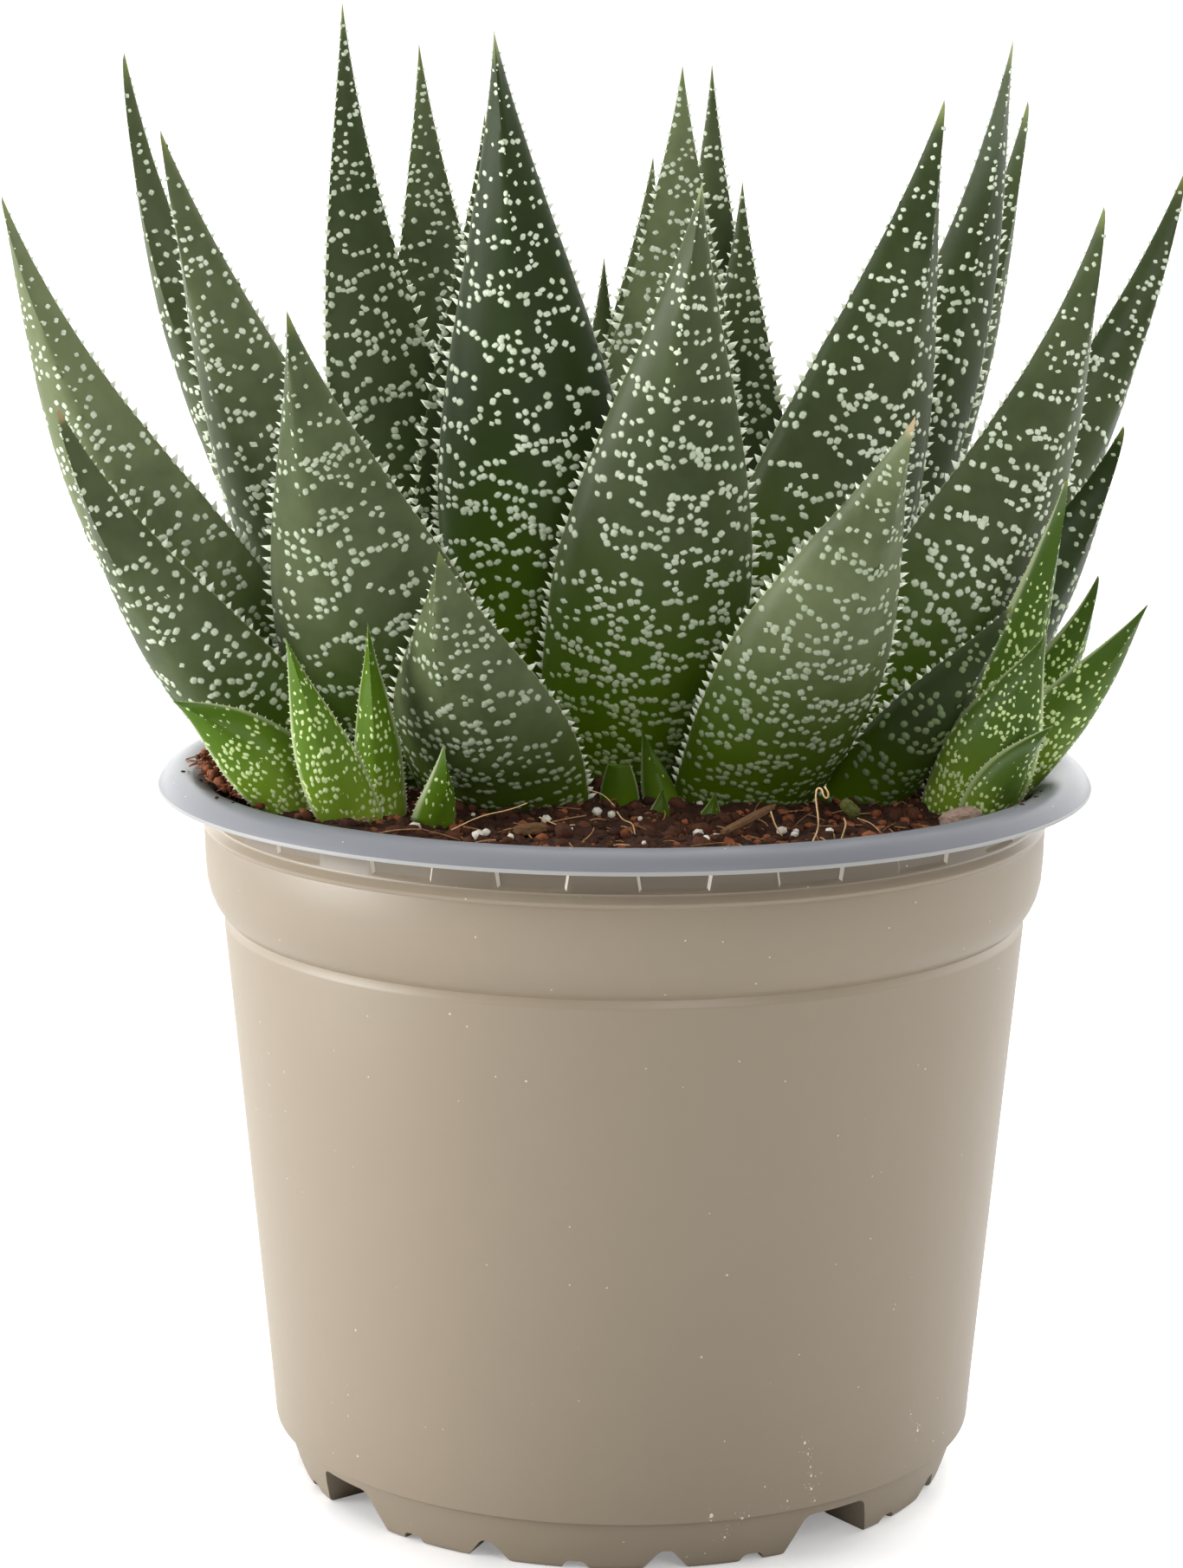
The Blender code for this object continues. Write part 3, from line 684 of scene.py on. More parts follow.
# %% Wart and tooth
WART_SIDES = 8
WART_TOP = 0.75
WART_HEIGHT = 0.92
FIRST_PAIR = 67.5
PAIR_REACH = 0.4
start_clean()
bpy.ops.mesh.primitive_cone_add(
    vertices=WART_SIDES, radius1=1.0, radius2=WART_TOP, depth=WART_HEIGHT, end_fill_type="NOTHING"
)
wart = bpy.context.object
for number in range(WART_SIDES // 2):
    turn = math.radians(FIRST_PAIR - 90.0 * number)
    middle = Vector((math.cos(turn), math.sin(turn))) * WART_TOP
    pick_points(wart, lambda place: place.z > 0.0 and (place.xy - middle).length < PAIR_REACH)
    with edit_mode():
        bpy.ops.mesh.merge(type="CENTER")
pick_points(wart, lambda place: place.z > 0.0)
with edit_mode():
    bpy.ops.mesh.edge_face_add()
    bpy.ops.mesh.select_all(action="SELECT")
    bpy.ops.transform.translate(value=(0.0, 0.0, WART_HEIGHT / 2))
wart_blank = as_blank(wart)

start_clean()
bpy.ops.mesh.primitive_cone_add(vertices=6, radius1=1.0, radius2=0.66, depth=0.5, end_fill_type="NOTHING")
pick_points(bpy.context.object, lambda place: place.z > 0.0)
with edit_mode():
    bpy.ops.mesh.extrude_region_move(TRANSFORM_OT_translate={"value": (0.0, 0.35, 0.75)})
    bpy.ops.mesh.merge(type="CENTER")
tooth_blank = as_blank(bpy.context.object)
print("wart faces:", len(wart_blank.sizes), "tooth faces:", len(tooth_blank.sizes))

# %% Copies of a blank


def object_from_arrays(name, points, corners, sizes, material):
    """An object from arrays in millimetres."""
    mesh = bpy.data.meshes.new(name)
    mesh.vertices.add(len(points))
    mesh.vertices.foreach_set("co", (points * MM).ravel())
    mesh.loops.add(corners.size)
    mesh.loops.foreach_set("vertex_index", corners.ravel())
    mesh.polygons.add(len(sizes))
    mesh.polygons.foreach_set("loop_start", np.concatenate(([0], np.cumsum(sizes)[:-1])))
    mesh.update(calc_edges=True)
    mesh.materials.append(material)
    mesh.shade_smooth()
    made = bpy.data.objects.new(name, mesh)
    bpy.context.scene.collection.objects.link(made)
    return made


def copies(name, blank, origins, axes, material):
    """Many copies of a blank: an origin and three scaled axes for each. 'rise' is 0 at the root and 1 on top."""
    points = np.einsum("vk,nkj->nvj", blank.points, axes) + origins[:, None, :]
    count = len(origins)
    corners = blank.corners[None, :] + np.arange(count)[:, None] * len(blank.points)
    made = object_from_arrays(name, points.reshape(-1, 3), corners, np.tile(blank.sizes, count), material)
    heights = blank.points[:, 2]
    rise = (heights - heights.min()) / (heights.max() - heights.min())
    set_number(made, "rise", np.tile(rise, count))
    return made


def set_for_each(piece, name, values):
    """A number for each copy in a piece made of copies."""
    set_number(piece, name, np.repeat(values, len(piece.data.vertices) // len(values)))


def set_number(piece, name, values):
    """A number for each point of the mesh, for the materials to read."""
    layer = piece.data.attributes.new(name, "FLOAT", "POINT")
    layer.data.foreach_set("value", np.broadcast_to(values, len(piece.data.vertices)).astype(np.float32))


def join(pieces, name):
    """One object from several, with their materials."""
    start_clean()
    for piece in pieces:
        piece.select_set(True)
    bpy.context.view_layer.objects.active = pieces[0]
    bpy.ops.object.join()
    pieces[0].name = name
    pieces[0].data.name = name
    return pieces[0]


print("points that a wart and a tooth add:", len(wart_blank.points), len(tooth_blank.points))

# %% [markdown]
# ## Skin
#
# The skin starts as a UV sphere, whose poles become the foot and the point. Its rings are laid along the spine and
# its meridians round the cross-section. The rings crowd towards the point, where the outline is finest.

# %% Skin
SKIN_MERIDIANS = 32
SKIN_RINGS = 72
YOUNG_MERIDIANS = 24
YOUNG_RINGS = 40
UNEVENNESS = 0.12


def make_skin(name, leaf, meridians, rings, material):
    """The leaf's skin, with the numbers that its material reads."""
    start_clean()
    bpy.ops.mesh.primitive_uv_sphere_add(segments=meridians, ring_count=rings, radius=1.0)
    piece = bpy.context.object
    piece.name = name
    ball = np.zeros(len(piece.data.vertices) * 3)
    piece.data.vertices.foreach_get("co", ball)
    ball = ball.reshape(-1, 3)
    ring = np.round(np.arccos(np.clip(-ball[:, 2], -1.0, 1.0)) / np.pi * rings)
    along = np.maximum(ring - 1, 0) / (rings - 1)
    along = 0.5 * along + 0.5 * np.sin(along * np.pi / 2)
    turn = np.arctan2(ball[:, 1], ball[:, 0])
    is_pole = (ring == 0) | (ring == rings)
    points = surface(leaf, along, np.where(is_pole, np.pi / 2, turn))
    centre = spine(leaf, along)[0]
    points[is_pole] = centre[is_pole]
    swell = [noise.noise(Vector(place) / 5.0) for place in points]
    points += unit(points - centre + 1e-6) * (np.array(swell) * UNEVENNESS * taper(along))[:, None]
    piece.data.vertices.foreach_set("co", (points * MM).ravel())
    piece.data.materials.append(material)
    set_number(piece, "along", along)
    set_number(piece, "edge", np.where(is_pole, 0.0, np.abs(np.cos(turn))))
    set_number(piece, "bloom", leaf.bloom)
    dry = np.clip((along - 1.0 + leaf.dry) / max(leaf.dry, 0.001) * 3.0, 0.0, 1.0)
    set_number(piece, "dry", dry if leaf.dry else 0.0)
    bpy.ops.object.shade_smooth_by_angle(angle=math.radians(50))
    return piece


print("rings and meridians of a large leaf:", SKIN_RINGS, SKIN_MERIDIANS)

# %% [markdown]
# ## Tubercles
#
# They stand in wavy rows across the leaf, like strings of beads. Near the foot the rows are close, the beads are
# small, drawn out sideways, and run together. Towards the point the rows move apart and the strings break into
# single beads. So the rows are laid from foot to point with a growing step, and a noise decides where a string is
# broken.

# %% Tubercle styles


def arc_lengths(leaf):
    """A table of distance along the leaf in millimetres, for even steps of its own measure."""
    along = np.linspace(0.0, 1.0, 200)
    points = spine(leaf, along)[0]
    steps = np.linalg.norm(np.diff(points, axis=0), axis=1)
    return along, np.concatenate(([0.0], np.cumsum(steps)))


class WartStyle(NamedTuple):
    """Values at four places on the leaf, from foot to point: 0, 0.3, 0.6 and 1 of its length."""

    row_steps: tuple
    radii: tuple
    bead_gap: float
    height: float
    across: tuple
    density: float
    echoes: float


STYLE_AT = (0.0, 0.3, 0.6, 1.0)
MATURE = WartStyle(
    (1.45, 2.05, 2.9, 1.8), (0.44, 0.52, 0.55, 0.32), 1.0, 0.13, (1.3, 1.05, 0.95, 1.0), 0.68, 0.28
)
YOUNG = WartStyle((1.0, 1.1, 1.2, 1.1), (0.46, 0.50, 0.44, 0.26), 0.72, 0.07, (0.7, 0.62, 0.55, 0.6), 0.82, 0.2)
SHADED = WartStyle((1.6, 2.0, 2.2, 1.8), (0.20, 0.24, 0.22, 0.16), 1.3, 0.04, (0.7, 0.6, 0.6, 0.7), 0.40, 0.0)
FIRST_ROW = 1.5
ROWS_UNTIL = 0.975
BEAD_JITTER = 0.3
BEADS_UNTIL = 0.97
CHAIN_LENGTH = 2.6
CHAIN_CONTRAST = 0.8
WAVE_LENGTH = 3.4
WAVE_HEIGHT = 1.2
ECHO_REACH = (0.85, 1.3)
BEAD_SIZES = (0.8, 1.15)
STRETCHES = (0.85, 1.3)
TURN_LIMIT = 0.6
WART_SUNK = 0.04
print("length of the first leaf along its spine in mm:", round(arc_lengths(LEFT_CROWN[0])[1][-1]))

# %% Tubercle rows


def bead_places(leaf, style, draw):
    """Where beads sit: their distance along the leaf, their turn round it and their size."""
    along_table, length_table = arc_lengths(leaf)
    length = length_table[-1]
    found = []
    for face in (1.0, -1.0):
        distance, row = FIRST_ROW, 0
        while distance < length * ROWS_UNTIL:
            share = distance / length
            half_width = leaf.width / 2 * float(taper(np.interp(distance, length_table, along_table)))
            step = np.interp(share, STYLE_AT, style.row_steps)
            count = max(int(2.0 * half_width / style.bead_gap), 1)
            for bead in range(count):
                across = -1.0 + 2.0 * (bead + 0.5 + draw.uniform(-BEAD_JITTER, BEAD_JITTER)) / count
                place = across * half_width
                chain = noise.noise(Vector((place / CHAIN_LENGTH, row * 1.7 + face * 31.0, leaf.tip[0])))
                threshold = style.density + leaf.spots + 0.2 * abs(share - 0.5)
                if 0.5 + CHAIN_CONTRAST * chain > threshold or abs(across) > BEADS_UNTIL:
                    continue
                wave = noise.noise(Vector((place / WAVE_LENGTH, row * 0.7, leaf.tip[1] + face * 7.0)))
                at = distance + step * WAVE_HEIGHT * wave + draw.uniform(-BEAD_JITTER, BEAD_JITTER)
                echo = draw.choice((-1.0, 1.0)) * draw.uniform(*ECHO_REACH)
                for extra in (0.0, echo) if draw.random() < style.echoes else (0.0,):
                    if 1.0 < at + extra < length * 0.98:
                        found.append((at + extra, face * math.acos(across), draw.uniform(*BEAD_SIZES)))
            distance += step
            row += 1
    table = np.array(found)
    return np.interp(table[:, 0], length_table, along_table), table[:, 1], table[:, 2]


def make_warts(name, leaf, style, draw, material):
    """The tubercles of one leaf, each turned a little on the skin."""
    along, turns, sizes = bead_places(leaf, style, draw)
    here, around, out, onward = stance(leaf, along, turns)
    radius = np.interp(along, STYLE_AT, style.radii) * sizes
    stretch = np.array([draw.uniform(*STRETCHES) for _ in sizes])
    wide = radius * np.interp(along, STYLE_AT, style.across) * stretch
    height = style.height * sizes * radius / max(style.radii)
    spin = np.array([draw.uniform(-TURN_LIMIT, TURN_LIMIT) for _ in sizes])[:, None]
    first = around * np.cos(spin) + onward * np.sin(spin)
    second = onward * np.cos(spin) - around * np.sin(spin)
    narrow = radius / stretch
    axes = np.stack((first * wide[:, None], second * narrow[:, None], out * height[:, None]), axis=1)
    warts = copies(name, wart_blank, here - out * WART_SUNK, axes, material)
    set_for_each(warts, "along", along)
    set_number(warts, "veil", leaf.veil)
    return warts


first_beads = bead_places(LEFT_CROWN[0], MATURE, random.Random("first"))[0]
print("beads on the first leaf, about:", len(first_beads))

# %% [markdown]
# ## Teeth
#
# Both margins carry horny white teeth from the soil to the point, a little shorter than the gap between them and
# closest near the foot. They lean towards the point, and no two are quite alike. Near the point the keel has a
# few.

# %% Teeth
TOOTH_GAP = 1.45
GAP_SHARES = (0.7, 0.85, 1.15, 0.8)
TOOTH_LENGTH = 1.15
TOOTH_HALF_WIDTH = 0.54
TOOTH_HALF_THICKNESS = 0.34
TOOTH_SUNK = 0.05
TOOTH_SIZES = (0.7, 1.15)
TOOTH_GAPS = (0.7, 1.35)
TOOTH_LEANS = (0.25, 0.6)
TOOTH_TILT = 0.25
MARGIN_TEETH_FROM = 0.06
KEEL_TEETH_FROM = 0.72
KEEL_TEETH_SIZE = 0.6
KEEL_SPACING = 1.6


def tooth_places(leaf, gap, draw):
    """Distances along the leaf, the edge that each tooth stands on, and its size."""
    along_table, length_table = arc_lengths(leaf)
    length = length_table[-1]
    found = []
    margins = [(edge, MARGIN_TEETH_FROM, 1.0) for edge in (0.0, math.pi)]
    for edge, start, size in margins + [(None, KEEL_TEETH_FROM, KEEL_TEETH_SIZE)]:
        at = length * start
        while at < length * ROWS_UNTIL:
            along = float(np.interp(at, length_table, along_table))
            share = float(taper(along))
            grown = size * draw.uniform(*TOOTH_SIZES) * (0.35 + 0.65 * min(share * 1.4, 1.0))
            found.append((along, edge, grown))
            spacing = KEEL_SPACING if edge is None else 1.0
            at += gap * draw.uniform(*TOOTH_GAPS) * np.interp(along, STYLE_AT, GAP_SHARES) * spacing
    return found


def make_teeth(name, leaf, gap, size, draw, material):
    """The teeth of one leaf, on both margins and on the keel near the point."""
    places = tooth_places(leaf, gap, draw)
    along = np.array([place[0] for place in places])
    late = np.clip((along - 0.3) / 0.6, 0.0, 1.0)
    on_keel = np.arccos(np.clip(leaf.keel * late, -0.9, 0.9))
    turns = np.array([on_keel[i] if place[1] is None else place[1] for i, place in enumerate(places)])
    grown = np.array([place[2] for place in places]) * size
    is_keel = np.array([place[1] is None for place in places])
    here = surface(leaf, along, turns)
    _, across, outward, onward = spine(leaf, along)
    pointing = np.where(is_keel[:, None], outward, across * np.cos(turns)[:, None])
    lean = np.array([draw.uniform(*TOOTH_LEANS) for _ in places])[:, None]
    tilt = np.array([draw.uniform(-TOOTH_TILT, TOOTH_TILT) for _ in places])[:, None]
    pointing = unit(pointing + onward * lean + np.where(is_keel[:, None], across, outward) * tilt)
    flat = unit(np.cross(onward, pointing))
    edgeways = np.cross(pointing, flat)
    axes = np.stack((
        flat * (TOOTH_HALF_THICKNESS * grown)[:, None],
        edgeways * (TOOTH_HALF_WIDTH * grown)[:, None],
        pointing * (TOOTH_LENGTH * grown)[:, None],
    ), axis=1)
    return copies(name, tooth_blank, here - pointing * TOOTH_SUNK * grown[:, None], axes, material)


first_teeth = tooth_places(LEFT_CROWN[0], TOOTH_GAP, random.Random("first"))
print("teeth on the first leaf, about:", len(first_teeth))

# %% [markdown]
# ## Growing every leaf
#
# Skin, tubercles and teeth are joined to one piece for each leaf, which takes the place of the plain solid. One
# seeded draw for each leaf makes every run alike.

# %% Grow the leaves


class Kind(NamedTuple):
    """What differs between the leaves of a crown, of a young offset, and of the small offset in the shade."""

    skin: bpy.types.Material
    fleck: bpy.types.Material
    style: WartStyle
    tooth_gap: float
    tooth_size: float
    slot: str


CROWN = Kind(skins["leaf_skin"], wart_skin, MATURE, TOOTH_GAP, 1.0, "leaf")
OFFSET = Kind(skins["young_skin"], fleck_skin, YOUNG, TOOTH_GAP * 0.55, 0.28, "offset_leaf")
# The right and the front offsets get darker copies of the young skin: painted shade.
SHADED_OFFSET = OFFSET._replace(skin=skins["shaded_young_skin"])
SHADE = Kind(skins["shaded_skin"], fleck_skin, SHADED, TOOTH_GAP * 0.8, 0.12, "offset_leaf")


def grow_leaf(node, leaf, kind):
    """One finished leaf in the place of its plain solid."""
    draw = random.Random(node)
    meridians, rings = (SKIN_MERIDIANS, SKIN_RINGS) if kind is CROWN else (YOUNG_MERIDIANS, YOUNG_RINGS)
    skin = make_skin(f"{node}_skin", leaf, meridians, rings, kind.skin)
    warts = make_warts(f"{node}_warts", leaf, kind.style, draw, kind.fleck)
    teeth = make_teeth(f"{node}_teeth", leaf, kind.tooth_gap, kind.tooth_size, draw, tooth_skin)
    piece = join([skin, warts, teeth], f"fine_{node}")
    if node == BLUNT_LEAF:
        take_up(piece)
        top = (0.0, 0.0, BLUNT_HEIGHT * MM)
        with edit_mode(select_all=True):
            bpy.ops.mesh.bisect(plane_co=top, plane_no=(0.0, 0.0, 1.0), clear_outer=True, use_fill=True)
    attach(piece, "root")
    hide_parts(node)
    return piece


GROUPS = [
    ("left_leaf_{:02d}", LEFT_CROWN, CROWN), ("right_leaf_{:02d}", RIGHT_CROWN, CROWN),
    ("left_offset_leaf_{}", LEFT_OFFSET, OFFSET), ("right_offset_leaf_{}", RIGHT_OFFSET, SHADED_OFFSET),
    ("front_offset_leaf_{}", FRONT_OFFSET, SHADE),
]
grown_leaves = []
for name_form, leaves, kind in GROUPS:
    for number, leaf in enumerate(leaves, 1):
        grown_leaves.append(grow_leaf(name_form.format(number), leaf, kind))
triangles = sum(sum(len(p.vertices) - 2 for p in piece.data.polygons) for piece in grown_leaves)
print("leaves:", len(grown_leaves), "triangles:", triangles)

# %% [markdown]
# ## Pot
#
# Such a pot is drawn from one thin two-layer sheet, so it is a body of revolution with a wide rolled rim, a collar
# that lets empty pots stack without jamming, a soft step, and a foot ring. The section is written down as radius
# and height, and a circle is extruded from ring to ring along it. What is cut from it afterwards is what the real
# mould presses in: the panels round the collar, the four drain channels and the small notches in the bottom edge.

# %% Pot section
POT_SIDES = 264
LINING = [
    (3.0, 6.4), (42.6, 6.4), (43.8, 6.7), (44.4, 7.6), (50.4, 73.0), (51.9, 88.0), (52.4, 90.6), (53.1, 91.7),
    (53.9, 92.4), (54.8, 93.0), (55.6, 93.45), (56.4, 93.72), (57.2, 93.82), (58.0, 93.6), (58.7, 93.2),
    (59.25, 92.7), (59.65, 92.1), (59.92, 91.6),
]
LIP = [(60.0, 91.35), (59.95, 91.15), (59.7, 91.08)]
OUTSIDE = [
    (59.4, 91.25), (58.6, 91.75), (57.0, 92.1), (55.2, 92.0), (54.1, 91.7), (53.6, 91.3), (53.42, 90.9),
    (53.3, 87.5), (53.45, 87.2), (54.2, 86.65), (54.33, 86.45), (54.3, 86.2), (54.08, 85.95), (54.2, 85.6),
    (54.1, 82.0), (53.9, 79.5), (53.5, 77.8), (52.9, 76.4), (52.2, 75.3), (51.55, 74.6), (51.28, 74.4),
    (51.25, 74.3), (51.74, 73.45), (51.76, 73.2), (50.1, 55.0), (48.3, 35.0), (46.5, 15.0), (45.88, 7.5),
    (45.8, 7.15), (45.5, 6.95), (44.9, 6.83), (44.68, 6.65), (44.58, 6.3), (43.6, 3.2), (42.7, 0.7), (42.5, 0.25),
    (42.1, 0.0), (35.2, 0.0), (34.5, 0.25), (34.3, 0.7), (34.0, 4.9), (33.6, 5.4), (3.0, 5.4),
]
print("rings in the section:", len(LINING) + len(LIP) + len(OUTSIDE))

# %% Pot plastic
POT_TAUPE = rgb(143, 130, 111)
POT_LIP = rgb(158, 158, 156)
# Pale colour for the panels' edges: a painted highlight where they catch the light.
POT_PANEL_EDGE_HIGHLIGHT = rgb(218, 210, 194)
# Darker colour for the collar: painted shade under the overhanging rim.
POT_COLLAR_SHADE = rgb(114, 102, 85)
SPECK_PALE = rgb(196, 188, 172)
SPECK_DARK = rgb(92, 72, 56)
POT_LOOKS = {
    "pot_taupe": (POT_TAUPE, rgb(136, 123, 105), 0.42),
    "pot_grey": (rgb(122, 124, 129), rgb(113, 115, 120), 0.32, 0.12),
    "pot_cut_edge": (POT_LIP, POT_LIP, 0.4, 0.2),
    # The panels' edges: painted highlight.
    "pot_panel_edge_highlight": (POT_PANEL_EDGE_HIGHLIGHT, POT_PANEL_EDGE_HIGHLIGHT, 0.4),
    # Paler colour for the ledges and the panels' floors that look up: a painted highlight.
    "pot_ledge_highlight": (rgb(172, 158, 137), POT_TAUPE, 0.4),
    # The collar's darker colour: painted shade under the rim.
    "pot_collar_shade": (POT_COLLAR_SHADE, POT_COLLAR_SHADE, 0.42),
    # A little paler for the ledge at the step: a painted highlight.
    "pot_step_highlight": (rgb(146, 133, 113), POT_TAUPE, 0.42),
}
LOOK_ORDER = list(POT_LOOKS)


def plastic_material(name, colour, shade, roughness, specular=0.5):
    """Moulded plastic: slightly uneven, with a few pale specks of dust and dark ones of peat."""
    made, tree, shader = new_material(name, roughness, specular)
    mixed = blend(tree, use_group(tree, MOTTLE, Large=18.0, Small=260.0, Share=0.3), shade, colour)
    for scale, size, share, speck in (
        (900.0, 0.10, 0.06, SPECK_PALE), (330.0, 0.05, 0.10, SPECK_PALE), (210.0, 0.03, 0.06, SPECK_DARK),
    ):
        mixed = blend(tree, use_group(tree, SPECKS, Scale=scale, Size=size, Share=share), mixed, speck)
    finish_material(tree, shader, mixed, 260.0, 0.00008, 0.25)
    return made


pot_skins = [plastic_material(name, *finish) for name, finish in POT_LOOKS.items()]
dried_water = plastic_material("dried_water", rgb(226, 220, 208), SPECK_PALE, 0.8)
print("pot materials:", LOOK_ORDER)

# %% [markdown]
# ## Turning the pot
#
# The first ring is a circle from the primitives. Each further ring is an extrusion, a move and a resize, as it
# would be done by hand.

# %% Pot shell


def turn_shell(name, section, sides):
    """A closed shell of revolution: the section's first and last rings are filled."""
    start_clean()
    first_radius, first_height = section[0]
    bpy.ops.mesh.primitive_circle_add(vertices=sides, radius=first_radius * MM)
    shell = bpy.context.object
    shell.name = name
    with edit_mode(select_all=True):
        bpy.ops.transform.translate(value=(0.0, 0.0, first_height * MM))
        bpy.ops.mesh.edge_face_add()
        for (radius, height), (next_radius, next_height) in zip(section, section[1:]):
            rise = (0.0, 0.0, (next_height - height) * MM)
            bpy.ops.mesh.extrude_region_move(TRANSFORM_OT_translate={"value": rise})
            share = next_radius / radius
            bpy.ops.transform.resize(value=(share, share, 1.0))
        bpy.ops.mesh.select_all(action="SELECT")
        bpy.ops.mesh.normals_make_consistent(inside=False)
    return shell


POT_SECTION = LINING + LIP + OUTSIDE
pot = turn_shell("fine_pot", POT_SECTION, POT_SIDES)
for plastic in pot_skins:
    pot.data.materials.append(plastic)
print("pot shell faces:", len(pot.data.polygons))

# %% [markdown]
# ## Pressing in panels, channels and notches
#
# Each kind of cutter is made once from a cube or a cylinder, narrowed towards one end, and copied round the axis.
# All copies of a kind go into one Boolean.

# %% Sizes of the cutters
PANEL_COUNT = 20
PANEL_OFFSET = 5.9
PANEL_HALF_WIDTH = 4.85
PANEL_DEPTH = 0.5
PANEL_TAPER = 0.79
PANEL_WIDENING = 1.1
PANEL_SPAN = (87.1, 90.7)
COLLAR_RADIUS = 53.35
DRAIN_COUNT = 4
DRAIN_BEARING = 37.0
DRAIN_HALF_WIDTH = 7.3
DRAIN_FROM, DRAIN_TO = 32.0, 52.0
DRAIN_TOP = 5.4
DRAIN_NARROWING = 0.64
DRAIN_HOLE_RADIUS = 3.0
DRAIN_HOLE_AT = 38.0
NOTCH_PITCH = 15.0
NOTCH = {"half_width": 2.2, "height": 1.1, "narrowing": 0.5}
TALL_NOTCH = {"half_width": 3.6, "height": 2.7, "narrowing": 0.2}
NOTCH_FROM, NOTCH_TO = 33.0, 46.0
NOTCH_ROUNDING = 0.5
print("panels and drains:", PANEL_COUNT, DRAIN_COUNT)

# %% Cutters


def compass(degrees):
    """The turn of a bearing that is 0 towards the viewer and grows to their right."""
    return math.radians(degrees - 90.0)


def block(low, high, narrow_top):
    """A cube cutter between two corners in mm, its top narrowed across (the y axis)."""
    start_clean()
    bpy.ops.mesh.primitive_cube_add(size=1.0)
    tool = bpy.context.object
    size = [(b - a) * MM for a, b in zip(low, high)]
    middle = [(b + a) / 2 * MM for a, b in zip(low, high)]
    with edit_mode(select_all=True):
        bpy.ops.transform.resize(value=size)
    pick_points(tool, lambda place: place.z > 0.0)
    with edit_mode():
        bpy.ops.transform.resize(value=(1.0, narrow_top, 1.0))
        bpy.ops.mesh.select_all(action="SELECT")
        bpy.ops.transform.translate(value=middle)
    return tool


def around_axis(tool, turns):
    """Copies of a cutter turned about the pot's axis and joined to one; the first is used up."""
    tools = []
    for turn in turns:
        twin = tool.copy()
        twin.data = tool.data.copy()
        twin.data.transform(Matrix.Rotation(turn, 4, "Z"))
        bpy.context.scene.collection.objects.link(twin)
        tools.append(twin)
    bpy.data.objects.remove(tool, do_unlink=True)
    return join(tools, "cutters")


def cut(piece, tool):
    """Takes the cutters out of a piece and deletes them."""
    take_up(piece)
    boolean = piece.modifiers.new("cut", "BOOLEAN")
    boolean.operation = "DIFFERENCE"
    boolean.solver = "EXACT"
    boolean.object = tool
    bpy.ops.object.modifier_apply(modifier="cut")
    bpy.data.objects.remove(tool, do_unlink=True)


def soften(tool, width, segments):
    """Rounds all edges of a cutter."""
    take_up(tool)
    with edit_mode(select_all=True):
        bpy.ops.mesh.bevel(offset=width * MM, segments=segments, affect="EDGES")
    return tool


print("turn of bearing 0 in degrees:", round(math.degrees(compass(0.0))))

# %% Panels in the collar
panel_low, panel_high = PANEL_SPAN
panel_tool = block(
    (COLLAR_RADIUS - PANEL_DEPTH, -PANEL_HALF_WIDTH, panel_low),
    (COLLAR_RADIUS + 0.5, PANEL_HALF_WIDTH, panel_high), PANEL_WIDENING,
)
panel_middle = (panel_low + panel_high) / 2
pick_points(panel_tool, lambda place: place.x < COLLAR_RADIUS * MM)
with edit_mode():
    bpy.ops.transform.resize(value=(1.0, PANEL_TAPER, 1.0))
pick_points(panel_tool, lambda place: place.x < COLLAR_RADIUS * MM and place.z < panel_middle * MM)
with edit_mode():
    bpy.ops.transform.translate(value=(0.0, 0.0, 2.0 * PANEL_DEPTH * MM))
panel_turns = [compass(PANEL_OFFSET + number * 360.0 / PANEL_COUNT) for number in range(PANEL_COUNT)]
cut(pot, around_axis(panel_tool, panel_turns))
print("pot faces with panels:", len(pot.data.polygons))

# %% Drain channels and holes
drain_turns = [compass(DRAIN_BEARING + number * 360.0 / DRAIN_COUNT) for number in range(DRAIN_COUNT)]
drain_low, drain_high = (DRAIN_FROM, -DRAIN_HALF_WIDTH, -1.5), (DRAIN_TO, DRAIN_HALF_WIDTH, DRAIN_TOP)
drain_tool = block(drain_low, drain_high, DRAIN_NARROWING)
cut(pot, around_axis(soften(drain_tool, 1.0, 4), drain_turns))
start_clean()
bpy.ops.mesh.primitive_cylinder_add(vertices=32, radius=DRAIN_HOLE_RADIUS * MM, depth=8.0 * MM)
hole_tool = bpy.context.object
with edit_mode():
    bpy.ops.transform.translate(value=(DRAIN_HOLE_AT * MM, 0.0, 6.0 * MM))
cut(pot, around_axis(hole_tool, drain_turns))
print("pot faces with drains:", len(pot.data.polygons))

# %% Notches in the bottom edge
notch_numbers = [number for number in range(24) if number % 6]
for notch, is_tall in ((NOTCH, False), (TALL_NOTCH, True)):
    half, height = notch["half_width"], notch["height"]
    notch_tool = block((NOTCH_FROM, -half, -0.8), (NOTCH_TO, half, height), notch["narrowing"])
    numbers = [number for number in notch_numbers if (number % 2 == 0) == is_tall]
    turns = [compass(DRAIN_BEARING + number * NOTCH_PITCH) for number in numbers]
    cut(pot, around_axis(soften(notch_tool, NOTCH_ROUNDING, 3), turns))
print("pot faces after cutting:", len(pot.data.polygons))

# %% [markdown]
# ## Two layers
#
# Seen from above the pot is grey, and from the side it is taupe. Which layer a face belongs to follows from where
# it lies: above the lip and inside the wall is the lining, a hair's breadth at the lip is the cut edge, and the
# rest is the outer layer. On that, light and shade are painted: the collar is painted darker as shade under the
# rim, and what catches the light there is painted paler as highlight: the panels' edges, the bead under them and
# the ledge at the step.

